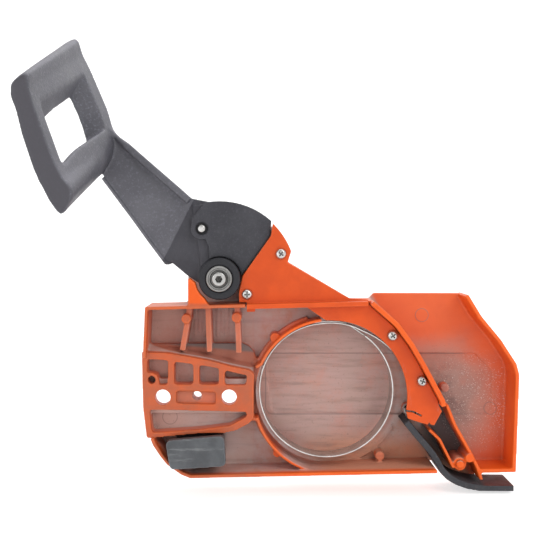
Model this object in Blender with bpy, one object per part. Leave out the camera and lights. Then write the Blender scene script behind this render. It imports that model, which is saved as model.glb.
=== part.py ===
"""Clutch cover of a chainsaw, with its built-in chain brake and front hand guard.

Frame: +X to the rear of the saw, +Z up, +Y out of the saw, away from its body.
The origin is midway between the two bar stud holes, on the face that clamps the bar.
Every dimension here is in millimetres, and MM turns it into metres.
"""
import math

import bmesh
import bpy
from mathutils import Vector

MM = 0.001
GAP = 0.3  # running clearance between neighbouring pieces
WELD = 0.004  # points closer than this are one point

# bar studs and bar pad
STUD_SPACING = 40.8
STUD_HOLE_RADIUS = 4.75
STUD_WALL = 8.0
NUT_WELL_RADIUS = 9.0
POCKET_DEPTH = 11.5
POCKET_DEPTH_BY_WELL = 5.5

# depths along Y
WALL_NEAR = -4.0
PLATE_NEAR = 2.0
PLATE_FAR = 4.0
HOUSING_NEAR = 4.3
LEFT_FLOOR = 20.0
LEFT_OUTER = 24.0
HOUSING_FLOOR = 24.3
HOUSING_OUTER = 28.0
MAIN_FLOOR = 26.0
MAIN_OUTER = 30.0
PANEL_RAISE = 1.5
REAR_NEAR = 5.0

# drum recess and brake band
DRUM_X = 83.3
DRUM_Z = 0.0
RECESS_RADIUS = 46.6
BULGE_RADIUS = 50.2
BAND_X = 80.6
BAND_Z = 3.4
BAND_RADIUS = 41.5
BAND_THICKNESS = 0.8
BAND_MIDDLE = 12.5
BAND_WIDTH = 13.0
TAIL_WIDTH = 4.5
FORK_WIDTH = 3.5
ANCHOR_X = 134.0
ANCHOR_Z = -11.4
ANCHOR_RADIUS = 2.0
ANCHOR_LOOP = 2.8
BAND_LOOP = 2.25
OUTER_LAP_START = 168.0  # degrees round the ring
OUTER_LAP_END = -14.0

# hand guard pivot
PIVOT_X = 14.4
PIVOT_Z = 73.0
HUB_RADIUS = 13.0
HUB_BORE = 7.5
SECTOR_RADIUS = 47.6
HOUSING_RADIUS = 47.2
HUB_NEAR = -2.0
HUB_FAR = 17.0
SIDE_PLATE_NEAR = 5.0
SIDE_PLATE_FAR = 7.0
SECTOR_NEAR = 7.3
WEB_NEAR = 9.0
WEB_FAR = 12.5
ARM_FAR = 14.0
PADDLE_NEAR = -90.0
RIVET_X = 3.2
RIVET_Z = 103.9

# knee and brake rod, which lie on one line at rest
LINK_LENGTH = 14.05
KNEE_SLOPE = math.radians(29.85)
KNEE_START_X = 13.8
KNEE_START_Z = 90.7
LINK_WIDTH = 6.6
ROD_RADIUS = 2.2
ROD_PIN_RADIUS = 1.7
KNEE_PIN_RADIUS = 1.9
SPRING_RADIUS = 4.9
SPRING_WIRE = 0.65
HEAD_END = 6.4
SPRING_START = 7.9
SPRING_END = 24.9
SPRING_TURNS = 5.5
SEAT_START = 25.4
SEAT_END = 28.4
FORK_START = 35.4
FORK_PIN = 41.0
FORK_END = 44.0

# plate screws: x, z of each
SCREW_PLACES = ((52.4, 88.3), (31.5, 63.3), (121.3, 38.0), (139.5, 10.0))
SCREW_HEAD_RADIUS = 3.15
SCREW_SHANK_RADIUS = 1.9
SCREW_BOSS_RADIUS = 4.6
DEFLECTOR_PIN = (163.8, -42.6)
GUIDE_SCREW = (0.6, -33.2)

ROUND = 32  # sides of a small round piece


# ---------------------------------------------------------------- materials

def material(name, colour, roughness, metallic=0.0):
    """Principled material with one colour, shared by every piece that uses its name."""
    found = bpy.data.materials.get(name)
    if found:
        return found
    made = bpy.data.materials.new(name)
    made.use_nodes = True
    shader = made.node_tree.nodes["Principled BSDF"]
    shader.inputs["Base Color"].default_value = (*colour, 1.0)
    shader.inputs["Roughness"].default_value = roughness
    shader.inputs["Metallic"].default_value = metallic
    made.diffuse_color = (*colour, 1.0)
    return made


def cast_orange():
    return material("cast_orange", (0.80, 0.12, 0.025), 0.45)


def plate_orange():
    return material("plate_orange", (0.70, 0.09, 0.02), 0.42)


def guard_black():
    return material("guard_black", (0.055, 0.055, 0.06), 0.5)


def steel():
    return material("steel", (0.55, 0.54, 0.52), 0.3, 1.0)


def dark_steel():
    return material("dark_steel", (0.18, 0.18, 0.19), 0.4, 1.0)


def band_steel():
    return material("band_steel", (0.42, 0.42, 0.43), 0.35, 1.0)


def rubber():
    return material("rubber", (0.03, 0.033, 0.036), 0.75)


def grey_nylon():
    return material("grey_nylon", (0.09, 0.105, 0.115), 0.5)


# ---------------------------------------------------------------- outlines

def circle(x, z, radius, sides=ROUND):
    """Points of a circle in the XZ plane."""
    turn = 2 * math.pi / sides
    return [(x + radius * math.cos(turn * i), z + radius * math.sin(turn * i)) for i in range(sides)]


def arc(x, z, radius, start, end, steps):
    """Points along an arc in the XZ plane, from start to end in degrees."""
    points = []
    for i in range(steps + 1):
        angle = math.radians(start + (end - start) * i / steps)
        points.append((x + radius * math.cos(angle), z + radius * math.sin(angle)))
    return points


def rounded(corners, steps=3):
    """Outline in which each (x, z, radius) corner is an arc, and each (x, z) corner stays sharp."""
    outline = []
    for i, corner in enumerate(corners):
        here = Vector(corner[:2])
        if len(corner) == 2:
            outline.append(tuple(here))
            continue
        radius = corner[2]
        back = (Vector(corners[i - 1][:2]) - here).normalized()
        ahead = (Vector(corners[(i + 1) % len(corners)][:2]) - here).normalized()
        half = back.angle(ahead) / 2
        reach = radius / math.tan(half)
        centre = here + (back + ahead).normalized() * radius / math.sin(half)
        first = here + back * reach - centre
        last = here + ahead * reach - centre
        start = math.atan2(first.y, first.x)
        turn = (math.atan2(last.y, last.x) - start + math.pi) % (2 * math.pi) - math.pi
        for k in range(steps + 1):
            angle = start + turn * k / steps
            outline.append((centre.x + radius * math.cos(angle), centre.y + radius * math.sin(angle)))
    return outline


def beside(path, distance):
    """Open path moved sideways, to its left for a positive distance."""
    points = [Vector(p) for p in path]
    normals = []
    for start, end in zip(points, points[1:]):
        along = (end - start).normalized()
        normals.append(Vector((-along.y, along.x)))
    moved = []
    for i, point in enumerate(points):
        before = normals[max(i - 1, 0)]
        after = normals[min(i, len(normals) - 1)]
        mitre = (before + after).normalized()
        moved.append(tuple(point + mitre * distance / max(mitre.dot(after), 0.4)))
    return moved


def wall(path, thickness, side=0.0):
    """Outline of a wall along an open path: side -1 puts it right of the path, 1 left, 0 centred."""
    left = beside(path, thickness * (1 + side) / 2)
    right = beside(path, -thickness * (1 - side) / 2)
    return left + right[::-1]


def knee_point(along, across=0.0):
    """Point in XZ in the frame of the knee line: along it from the rod pin, and across it."""
    middle_x, middle_z = rod_pin_place()
    cos_slope, sin_slope = math.cos(KNEE_SLOPE), math.sin(KNEE_SLOPE)
    return (
        middle_x + along * cos_slope + across * sin_slope,
        middle_z - along * sin_slope + across * cos_slope,
    )


def on_knee_line(corners):
    """Outline given as (along, across) corners, laid on the knee line."""
    return [knee_point(*corner) for corner in corners]


def knee_block(start, end, half_width):
    """Rectangle on the knee line, from start to end along it."""
    return on_knee_line([(start, -half_width), (end, -half_width), (end, half_width), (start, half_width)])


def knee_pin_place():
    return (
        KNEE_START_X + LINK_LENGTH * math.cos(KNEE_SLOPE),
        KNEE_START_Z - LINK_LENGTH * math.sin(KNEE_SLOPE),
    )


def rod_pin_place():
    return (
        KNEE_START_X + 2 * LINK_LENGTH * math.cos(KNEE_SLOPE),
        KNEE_START_Z - 2 * LINK_LENGTH * math.sin(KNEE_SLOPE),
    )


# ---------------------------------------------------------------- solids

def to_object(mesh_data, name):
    """Object from a bmesh, with its faces turned outwards."""
    bmesh.ops.recalc_face_normals(mesh_data, faces=mesh_data.faces)
    mesh = bpy.data.meshes.new(name)
    mesh_data.to_mesh(mesh)
    mesh_data.free()
    made = bpy.data.objects.new(name, mesh)
    bpy.context.scene.collection.objects.link(made)
    return made


def prism(outline, near, far, name="tool"):
    """Solid with the given XZ outline between two depths along Y."""
    shape = bmesh.new()
    base = [shape.verts.new((x * MM, near * MM, z * MM)) for x, z in outline]
    face = shape.faces.new(base)
    grown = bmesh.ops.extrude_face_region(shape, geom=[face])
    moved = [item for item in grown["geom"] if isinstance(item, bmesh.types.BMVert)]
    bmesh.ops.translate(shape, verts=moved, vec=(0, (far - near) * MM, 0))
    return to_object(shape, name)


def disc(x, z, radius, near, far, sides=ROUND):
    """Round solid along Y."""
    return prism(circle(x, z, radius, sides), near, far)


def turned(start, axis, profile, name="tool", sides=ROUND):
    """Solid of revolution: profile is (radius, height) along the axis from start.

    A profile that begins and ends with radius 0 is solid, and any other closes on itself.
    """
    axis = Vector(axis).normalized()
    side = axis.orthogonal().normalized()
    other = axis.cross(side)
    shape = bmesh.new()
    rings = []
    for radius, height in profile:
        middle = Vector(start) + axis * height
        if radius == 0:
            rings.append([shape.verts.new(middle * MM)])
            continue
        ring = []
        for i in range(sides):
            angle = 2 * math.pi * i / sides
            outward = side * math.cos(angle) + other * math.sin(angle)
            ring.append(shape.verts.new((middle + outward * radius) * MM))
        rings.append(ring)
    if profile[0][0] != 0:
        rings.append(rings[0])
    for low, high in zip(rings, rings[1:]):
        for i in range(sides):
            corners = [
                low[i % len(low)],
                low[(i + 1) % len(low)],
                high[(i + 1) % len(high)],
                high[i % len(high)],
            ]
            shape.faces.new(list(dict.fromkeys(corners)))
    return to_object(shape, name)


def pin(x, z, profile, name="tool", sides=ROUND):
    """Turned piece along Y through (x, z), with heights given as depths."""
    return turned((x, 0, z), (0, 1, 0), profile, name, sides)


def plate_from_grid(near_side, far_side, keep, name="tool"):
    """Closed plate between two matching grids of points, solid where keep(row, column) is true."""
    shape = bmesh.new()
    rows, columns = len(near_side), len(near_side[0])
    made = {}

    def corner(side, row, column):
        key = (side, row, column)
        if key not in made:
            made[key] = shape.verts.new(Vector((near_side, far_side)[side][row][column]) * MM)
        return made[key]

    def solid(row, column):
        inside = 0 <= row < rows - 1 and 0 <= column < columns - 1
        return inside and keep(row, column)

    for row in range(rows - 1):
        for column in range(columns - 1):
            if not solid(row, column):
                continue
            ring = [(row, column), (row + 1, column), (row + 1, column + 1), (row, column + 1)]
            beyond = [(row, column - 1), (row + 1, column), (row, column + 1), (row - 1, column)]
            shape.faces.new([corner(0, *place) for place in ring])
            shape.faces.new([corner(1, *place) for place in reversed(ring)])
            for i, neighbour in enumerate(beyond):
                if solid(*neighbour):
                    continue
                first, second = ring[i], ring[(i + 1) % 4]
                edge = [(0, *second), (0, *first), (1, *first), (1, *second)]
                shape.faces.new([corner(*place) for place in edge])
    return to_object(shape, name)


def close_small_steps(mesh):
    """Merge points that a Boolean left a few micrometres apart, and close the slivers this opens."""
    shape = bmesh.new()
    shape.from_mesh(mesh)
    bmesh.ops.remove_doubles(shape, verts=shape.verts, dist=WELD * MM)
    bmesh.ops.dissolve_degenerate(shape, edges=shape.edges, dist=WELD * MM)
    rim = [edge for edge in shape.edges if edge.is_boundary]
    bmesh.ops.holes_fill(shape, edges=rim, sides=4)
    shape.to_mesh(mesh)
    shape.free()


def combine(target, operation, tools):
    """Apply one Boolean after another to target, and remove the tools."""
    for tool in tools:
        step = target.modifiers.new("combine", "BOOLEAN")
        step.solver = "EXACT"
        step.operation = operation
        step.object = tool
        evaluated = target.evaluated_get(bpy.context.evaluated_depsgraph_get())
        mesh = bpy.data.meshes.new_from_object(evaluated)
        target.modifiers.clear()
        target.data = mesh
        close_small_steps(mesh)
        bpy.data.objects.remove(tool)
    return target


def join(target, *tools):
    return combine(target, "UNION", tools)


def cut(target, *tools):
    return combine(target, "DIFFERENCE", tools)


def finish(piece, name, look, axis_place=None, parent=None):
    """Name a piece, shade it, give it its material and put its origin on its joint's axis."""
    piece.name = name
    piece.data.name = name
    if axis_place:
        origin = Vector(axis_place) * MM
        for vertex in piece.data.vertices:
            vertex.co -= origin
        piece.location = origin
    piece.data.materials.clear()
    piece.data.materials.append(look)
    piece.data.shade_smooth()
    piece.data.set_sharp_from_angle(angle=math.radians(35))
    if parent:
        bpy.context.view_layer.update()
        piece.parent = parent
        piece.matrix_parent_inverse = parent.matrix_world.inverted()
    return piece


def joint_empty(name, place, parent=None):
    """Empty on a joint's axis, which the moving pieces hang from."""
    made = bpy.data.objects.new(name, None)
    bpy.context.scene.collection.objects.link(made)
    made.location = Vector(place) * MM
    bpy.context.view_layer.update()
    if parent:
        made.parent = parent
        made.matrix_parent_inverse = parent.matrix_world.inverted()
        bpy.context.view_layer.update()
    return made


# ---------------------------------------------------------------- cover outlines

TOP_LEFT = (-31.0, 56.0)
TOP_MIDDLE = (29.0, 57.5)
TOP_RIGHT = (109.0, 59.5)
BOTTOM_LEFT_RUN = (
    (-27.4, -24.7), (-25.8, -28.7), (-21.2, -35.5), (-17.3, -40.3), (-8.7, -46.4), (-3.2, -48.6),
)
BOTTOM_RIGHT = (147.8, -45.55)
DIAGONAL_THICKNESS = 3.0
DIAGONAL_RUN = (
    TOP_RIGHT, (124.4, 46.0), (133.8, 33.2), (140.7, 21.3), (152.6, -1.0), (153.3, -4.6),
)
REAR_RUN = (
    (169.0, 63.0), (177.3, 49.3), (189.5, 34.5), (199.0, 19.8), (200.8, 12.8), (198.6, -47.6),
    (177.0, -47.9),
)
PAD_OUTLINE = (
    (-33.4, 28.0), (-16.9, 27.2), (-5.2, 25.2), (8.1, 22.8), (22.2, 19.0), (32.4, 17.0), (36.0, 14.2, 2.0),
    (35.6, 4.8), (35.6, -12.8, 3.0), (32.1, -16.3, 3.0), (24.6, -20.3), (17.6, -21.8), (1.9, -22.2),
    (-28.8, -25.0), (-30.3, -25.0, 1.2), (-32.6, -6.1),
)
LEFT_FLOOR_OUTLINE = (
    (-31.2, 30.0), (-30.2, 55.2), (28.0, 56.6), (86.0, 58.0), (86.0, -46.0), (-2.9, -47.8),
    (-8.2, -45.6), (-16.6, -39.6), (-20.5, -34.9), (-25.0, -28.4), (-27.6, -24.0), (-30.0, -24.2),
    (-32.0, -6.0), (-32.8, 27.4),
)
MAIN_FLOOR_OUTLINE = (
    (84.0, 57.6), (109.4, 58.6), (113.0, 62.4), (168.7, 62.2), (176.6, 49.0), (188.8, 34.2), (198.3, 19.6),
    (200.0, 12.7), (197.8, -46.1), (84.0, -45.6),
)
LEDGE_OUTLINE = (
    (-31.5, 26.0), (-31.5, 31.0), (28.0, 31.6), (32.6, 29.6), (35.8, 25.8), (37.4, 21.0), (37.6, 16.6),
    (31.0, 15.6),
)
SKIRT_OUTLINE = (
    (149.2, -43.0), (151.6, -46.6), (155.4, -50.8), (161.0, -54.4), (168.0, -56.8), (177.6, -57.4),
    (179.6, -50.0), (179.6, -43.0),
)
PANEL_OUTLINE = (
    (42.0, 23.6, 3.0), (178.4, 23.6, 4.0), (189.2, 12.6, 4.0), (189.2, -15.9, 4.0), (47.0, -15.2, 5.0),
)
SLANT_TOP = (56.4, 83.2)
SLANT_END = (94.5, 60.6)


def housing_edge(radius_cut=0.0):
    """Right edge of the upper housing: arc about the guard pivot, then the slanted side."""
    run = arc(PIVOT_X, PIVOT_Z, HOUSING_RADIUS - radius_cut, 43, 20, 6)
    return run + [SLANT_TOP, SLANT_END]


def housing_back_outline():
    """Back wall of the upper housing, which stays behind the guard."""
    left = [(-7.0, 54.5), (-7.0, 76.0), (-3.0, 96.0)]
    return left + arc(PIVOT_X, PIVOT_Z, 43.0, 112, 50, 8) + housing_edge() + [(94.5, 55.5)]


# ---------------------------------------------------------------- clutch cover

def cover_floors():
    """Stepped outer skin of the cover."""
    body = prism(LEFT_FLOOR_OUTLINE, LEFT_FLOOR, LEFT_OUTER)
    return join(
        body,
        prism(circle(DRUM_X, DRUM_Z, BULGE_RADIUS - 4.0, 56), 12, MAIN_OUTER - 0.5),
        prism(arc(DRUM_X, DRUM_Z, BULGE_RADIUS, 106, 254, 30), 13.2, MAIN_OUTER - 1),
        prism(arc(DRUM_X, DRUM_Z, BULGE_RADIUS - 2.7, 243, 283, 10), 19.0, MAIN_OUTER - 1.4),
        prism(MAIN_FLOOR_OUTLINE, MAIN_FLOOR, MAIN_OUTER),
        prism([(80, 44.0), (87, 44.0), (87, 58.4), (80, 58.3)], 19.6, MAIN_OUTER - 0.6),
        prism(SKIRT_OUTLINE, MAIN_FLOOR + 0.4, MAIN_OUTER - 0.3),
        prism(rounded(PANEL_OUTLINE), MAIN_OUTER - 1, MAIN_OUTER + PANEL_RAISE),
    )


def cover_walls():
    """Walls that stand on the skin: edge of the front chamber, diagonal, rear rim and trough."""
    trough_left = ((144.6, -21.2), (151.2, -27.4), (157.4, -39.8), (159.6, -45.0))
    trough_right = ((155.6, -5.6), (160.5, -18.0), (169.9, -34.8), (174.8, -44.7), (177.2, -52.4))
    return [
        prism(wall((TOP_LEFT, (30.5, 57.54)), 1.9, -1), WALL_NEAR, HOUSING_OUTER - 0.4),
        prism(wall(((29.0, 57.3), (109.6, 59.3)), 2.6, -1), HOUSING_NEAR, HOUSING_OUTER - 0.7),
        prism(wall(((-30.9, 55.7), (-32.0, 29.0), (-32.2, 24.5)), 1.8, 1), WALL_NEAR, LEFT_FLOOR + 2.3),
        prism(wall(((83.0, -46.9), (147.2, -45.26)), 1.6, 1), LEFT_FLOOR, MAIN_FLOOR + 1.5),
        prism(wall(DIAGONAL_RUN, DIAGONAL_THICKNESS, -1), WALL_NEAR, MAIN_FLOOR + 2),
        prism(wall(REAR_RUN, 2.4, -1), REAR_NEAR, MAIN_FLOOR + 2.2),
        prism(wall(trough_left, 1.8), REAR_NEAR, MAIN_FLOOR + 2),
        prism(wall(trough_right, 2.0), REAR_NEAR, MAIN_FLOOR + 2),
    ]


def recess_walls():
    """Thin rim round the drum, open where the chain leaves and under the brake cover plate."""
    upper = arc(DRUM_X, DRUM_Z, RECESS_RADIUS + 0.9, 97, 155, 14) + [(36.8, 18.0)]
    lower = [(33.6, -14.0)] + arc(DRUM_X, DRUM_Z, RECESS_RADIUS + 0.9, 197, 273, 16)
    step = arc(DRUM_X, DRUM_Z, RECESS_RADIUS + 1.4, 279, 330, 10)
    return [
        prism(wall(upper, 1.8), PLATE_NEAR, LEFT_FLOOR + 1.2),
        prism(wall(lower, 1.8), PLATE_NEAR, LEFT_FLOOR + 1.2),
        prism(wall(step, 1.2), MAIN_FLOOR - 1.2, MAIN_FLOOR + 1),
    ]


def ribs_and_bosses():
    """Ribs between the top wall and the pad, and the small round bosses."""
    upper_ribs = (
        ((-4.0, 55.6), (-8.6, 28.4)),
        ((7.2, 55.8), (8.2, 27.6)),
        ((25.2, 56.2), (26.4, 27.0)),
    )
    pieces = [prism(wall(run, 3.4), 2.5, LEFT_FLOOR + 1.4 + 0.3 * i) for i, run in enumerate(upper_ribs)]
    for x, z, radius in ((-6.1, 48.2, 3.0), (25.0, 49.0, 3.1)):
        pieces.append(prism(circle(x, z, radius, 16), 1.0, LEFT_FLOOR + 2.6))
    # step that runs along the upper edge of the pad
    pieces.append(prism(LEDGE_OUTLINE, 13.5, LEFT_FLOOR + 0.7))
    pieces.append(prism(circle(48.9, 35.6, 3.1, 16), 8.0, LEFT_FLOOR + 1.7))
    pieces.append(prism(circle(50.2, -36.5, 2.6, 16), 8.0, LEFT_FLOOR + 1.7))
    pieces.append(prism(circle(115.5, -40.4, 3.0, 16), 16.0, MAIN_FLOOR + 2))
    pieces.append(prism(circle(157.4, 2.4, 2.8, 16), 18.0, MAIN_FLOOR + 2.1))
    pieces.append(prism(circle(*DEFLECTOR_PIN, 4.1, 24), 6.0, MAIN_FLOOR + 2))
    pieces.append(prism(circle(169.5, -38.6, 2.7, 20), REAR_NEAR - 0.8, MAIN_FLOOR + 2))
    return pieces


def upper_housing():
    """Housing that holds the guard pivot, the knee and the spring."""
    edge = wall(housing_edge(), 3.0, -1)
    gusset = [(-4.6, 56.1), (-4.6, 73.4), (-3.2, 73.2), (-0.2, 70.7)]
    gusset += arc(PIVOT_X, PIVOT_Z, HUB_RADIUS + 1.8, 196, 232, 5) + [(8.6, 56.3)]
    seat = on_knee_line([(SEAT_START, -8.0), (SEAT_END, -7.0), (SEAT_END, 12.2), (SEAT_START, 12.2)])
    pieces = [
        prism(housing_back_outline(), HOUSING_FLOOR, HOUSING_OUTER),
        prism(edge, HOUSING_NEAR, HOUSING_OUTER - 0.5),
        prism(gusset, WALL_NEAR + 0.3, 4.2),
        prism(seat, HOUSING_NEAR + 0.5, HOUSING_FLOOR + 1),
        prism(circle(PIVOT_X, PIVOT_Z, 10.0), 17.8, HOUSING_FLOOR + 1),
    ]
    for x, z in SCREW_PLACES[:2]:
        pieces.append(prism(circle(x, z, SCREW_BOSS_RADIUS, 24), HOUSING_NEAR, HOUSING_FLOOR + 1))
    for x, z in SCREW_PLACES[2:]:
        pieces.append(prism(circle(x, z, SCREW_BOSS_RADIUS, 24), HOUSING_NEAR, MAIN_FLOOR + 2.1))
    pieces.append(prism(circle(ANCHOR_X, ANCHOR_Z, 3.6, 20), 20.5, MAIN_FLOOR + 2.1))
    return pieces


def pad_cuts():
    """Pockets, stud holes and nut wells of the bar pad."""
    half = STUD_SPACING / 2
    deep, shallow = POCKET_DEPTH, POCKET_DEPTH_BY_WELL
    pockets = (
        ([(-30.0, 23.6, 1.2), (-17.2, 22.8, 1.2), (-17.2, 10.6, 1.0), (-22.8, 10.6), (-24.0, 13.9),
          (-26.9, 15.1), (-30.0, 15.2, 0.6)], deep),
        ([(-17.4, 12.0), (-22.8, 12.0), (-22.8, 7.9), (-17.4, 7.9, 1.2)], shallow),
        ([(-13.4, 22.0, 1.5), (-1.6, 20.4, 1.5), (-1.6, 8.0, 1.5), (-13.4, 8.0, 1.5)], deep),
        ([(2.0, 20.0, 1.5), (14.2, 17.8, 1.5), (14.2, 8.0, 1.5), (2.0, 8.0, 1.5)], deep),
        ([(17.8, 16.6, 1.2), (31.8, 13.4, 1.2), (30.9, 10.6), (17.8, 10.6)], deep),
        ([(17.8, 12.0), (31.2, 12.0), (30.8, 7.6, 1.2), (17.8, 7.6, 1.2)], shallow),
        ([(-12.2, 4.0, 1.5), (12.4, 3.4, 1.5), (12.4, -4.4, 1.5), (-12.2, -3.6, 1.5)], 2.5),
        ([(-28.4, -7.5, 1.2), (30.8, -8.9, 1.2), (31.4, -11.4), (-28.2, -11.4)], shallow),
        ([(-28.3, -10.6), (31.2, -10.6), (31.0, -12.0, 1.5), (21.0, -17.4, 2.0), (2.6, -19.8),
          (-27.0, -21.8, 1.5)], deep),
    )
    cuts = [prism(rounded(corners, 2), -1, floor) for corners, floor in pockets]
    back_pocket = [(-27.5, 13.0, 4), (30.0, 13.0, 4), (30.0, -13.5, 4), (20.0, -16.5, 4), (-25.5, -18.5, 4)]
    cuts.append(prism(rounded(back_pocket), deep + 3.0, LEFT_OUTER + 1))
    for x in (-half, half):
        cuts.append(disc(x, 0, STUD_HOLE_RADIUS, -1, LEFT_OUTER + 1))
        cuts.append(disc(x, 0, NUT_WELL_RADIUS, STUD_WALL, LEFT_OUTER + 1))
    cuts.append(disc(0.5, 0.6, 2.8, -1, LEFT_OUTER + 1, 24))
    cuts.append(disc(-27.2, 10.8, 2.4, -1, 8.0, 24))
    return cuts


def make_clutch_cover():
    """The one casting, from its stepped skin, its walls and then its openings."""
    bottom = (*BOTTOM_LEFT_RUN, BOTTOM_RIGHT)
    body = cover_floors()
    cut(body, prism(rounded(PANEL_OUTLINE), MAIN_FLOOR - 1, MAIN_FLOOR + PANEL_RAISE))
    join(body, *cover_walls())
    join(body, *upper_housing())
    cut(body, disc(DRUM_X, DRUM_Z, RECESS_RADIUS + 0.1, -10, MAIN_FLOOR, 60))
    join(body, *recess_walls(), prism(wall(bottom, 2.0, 1), WALL_NEAR, LEFT_FLOOR + 2))
    join(body, prism(rounded(PAD_OUTLINE, 2), 0, LEFT_FLOOR + 1), *ribs_and_bosses())
    cut(body, *pad_cuts())
    # way through the top wall for the rod and the band tail
    cut(body, prism([(60.0, 53.0), (84.0, 53.0), (84.0, 61.0), (67.6, 61.0), (60.0, 58.9)], 3.0, 20.0))
    rod_start = knee_point(SEAT_START - 4)
    rod_axis = (math.cos(KNEE_SLOPE), 0, -math.sin(KNEE_SLOPE))
    bore = [(0, 0), (ROD_RADIUS + 0.5, 0), (ROD_RADIUS + 0.5, 12), (0, 12)]
    cut(body, turned((rod_start[0], BAND_MIDDLE, rod_start[1]), rod_axis, bore, sides=20))
    cut(body, disc(PIVOT_X, PIVOT_Z, 2.8, 10, 40, 24), disc(KNEE_START_X, KNEE_START_Z, 2.3, 20, 40, 24))
    for x, z in SCREW_PLACES:
        cut(body, disc(x, z, SCREW_SHANK_RADIUS + GAP + 0.1, 0, 16.0, 20))
    cut(
        body,
        disc(ANCHOR_X, ANCHOR_Z, ANCHOR_RADIUS + GAP, 10, 25.0, 20),
        disc(*DEFLECTOR_PIN, 1.8, 0, 15.0, 20),
        disc(*GUIDE_SCREW, 2.1, 10, 40, 20),
    )
    return finish(body, "clutch_cover", cast_orange())


# ---------------------------------------------------------------- brake cover plate and screws

def make_brake_cover_plate():
    """Screwed plate over the upper housing and the pulled side of the band."""
    recess = arc(DRUM_X, DRUM_Z, RECESS_RADIUS + 0.6, -10.6, 93.5, 22)
    upper_arc = arc(PIVOT_X, PIVOT_Z, HOUSING_RADIUS + 0.3, 46, 21, 6)
    diagonal = beside(DIAGONAL_RUN, -DIAGONAL_THICKNESS - GAP - 0.1)
    outline = [
        *upper_arc, (56.6, 83.0), (94.6, 61.0), (106.0, 60.2), *diagonal[:-1], (149.9, -5.4),
        (151.8, -9.0), (147.1, -17.6), (144.9, -17.2), (144.0, -15.4), (143.2, -17.2),
        (139.5, -16.3), (130.8, -13.4), *recess, (67.3, 56.0), (36.6, 54.8), (36.4, 52.6), (31.3, 52.4),
        (31.3, 58.4), (26.6, 58.3), (26.4, 64.6), (28.6, 74.4), (46.2, 99.4),
    ]
    rib_run = ((31.3, 57.5), (105.5, 59.4))
    plate = prism(outline, PLATE_NEAR, PLATE_FAR)
    join(plate, prism(wall(rib_run, 2.8, -1), WALL_NEAR, PLATE_FAR - 0.5))
    for x, z in SCREW_PLACES:
        cut(plate, disc(x, z, SCREW_SHANK_RADIUS + 0.4, 0, 6, 20))
    slit = wall(((129.0, -8.6), (134.0, -9.2), (139.4, -11.9)), 1.1)
    cut(plate, prism(slit, 0, 6))
    return finish(plate, "brake_cover_plate", plate_orange())


def make_plate_screw(number, x, z):
    """Pan-head cross-recess screw."""
    head_near = PLATE_NEAR - GAP - 2.2
    screw = pin(x, z, [
        (0, head_near), (SCREW_HEAD_RADIUS - 1.0, head_near), (SCREW_HEAD_RADIUS, head_near + 0.9),
        (SCREW_HEAD_RADIUS, PLATE_NEAR - GAP), (SCREW_SHANK_RADIUS, PLATE_NEAR - GAP),
        (SCREW_SHANK_RADIUS, 13.5), (0, 15.2),
    ], sides=20)
    turn = math.radians(20 + 35 * number)
    for angle in (turn, turn + math.pi / 2):
        along = Vector((math.cos(angle), math.sin(angle)))
        ends = (Vector((x, z)) - along * 1.6, Vector((x, z)) + along * 1.6)
        cut(screw, prism(wall(ends, 0.75), head_near - 1, head_near + 1.2))
    return finish(screw, f"plate_screw_{number}", steel())


# ---------------------------------------------------------------- guard pivot

def hexagon(x, z, across_flats):
    return circle(x, z, across_flats / math.sqrt(3), 6)


def make_pivot_sleeve():
    """Flanged steel sleeve that the guard turns on."""
    sleeve = pin(PIVOT_X, PIVOT_Z, [
        (2.8, -2.6), (7.7, -2.6), (8.0, -2.3), (8.0, -1.1), (5.6, -1.1), (5.6, 17.4), (2.8, 17.4),
    ])
    return finish(sleeve, "pivot_sleeve", steel())


def make_pivot_screw():
    """Socket screw that clamps the sleeve to the housing."""
    screw = pin(PIVOT_X, PIVOT_Z, [
        (0, -4.9), (3.9, -4.9), (4.4, -4.4), (4.4, -2.9), (2.4, -2.9), (2.4, 26.5), (0, 26.5),
    ], sides=28)
    cut(screw, prism(hexagon(PIVOT_X, PIVOT_Z, 4.0), -6, -3.4))
    return finish(screw, "pivot_screw", steel())


# ---------------------------------------------------------------- hand guard

ARM_OUTLINE_TOP = (
    (-56.5, 172.0), (-50.8, 168.5), (-48.2, 163.8), (-42.6, 157.2), (-34.9, 150.3), (-23.0, 140.0),
    (-10.2, 128.9), (-3.4, 122.8),
)
ARM_OUTLINE_LOWER = (
    (-5.9, 74.4), (-16.5, 83.2), (-18.9, 83.2), (-28.9, 96.5), (-38.1, 109.3), (-58.2, 136.2), (-62.0, 146.0),
)
REAR_FAR = ((-76.9, 222.5), (-69.3, 209.2), (-61.7, 191.5), (-55.5, 177.0), (-51.5, 163.0), (-52.5, 151.0))
FRONT_FAR = ((-85.2, 217.5), (-77.6, 203.0), (-70.5, 187.0), (-64.7, 172.0), (-61.0, 156.0), (-59.8, 138.5))
REAR_NEAR_SIDE = (
    (-79.4, 182.6), (-76.1, 169.0), (-70.0, 151.5), (-64.6, 137.0), (-59.8, 127.8), (-55.5, 122.5),
)
FRONT_NEAR_SIDE = (
    (-86.6, 174.0), (-80.6, 149.5), (-75.0, 133.0), (-69.5, 121.0), (-64.5, 113.8), (-60.2, 110.9),
)
# shares of the paddle's depth and height at which its grid lines lie; the window tapers to the front
REAR_STATIONS = (0.0, 0.15, 0.40, 0.66, 0.91, 0.96, 1.0)
FRONT_STATIONS = (0.0, 0.25, 0.39, 0.54, 0.69, 0.85, 1.0)
REAR_HEIGHTS = (0.0, 0.12, 0.26, 0.43, 0.60, 0.745, 0.88, 1.0)
FRONT_HEIGHTS = (0.0, 0.16, 0.345, 0.46, 0.57, 0.685, 0.85, 1.0)


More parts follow.
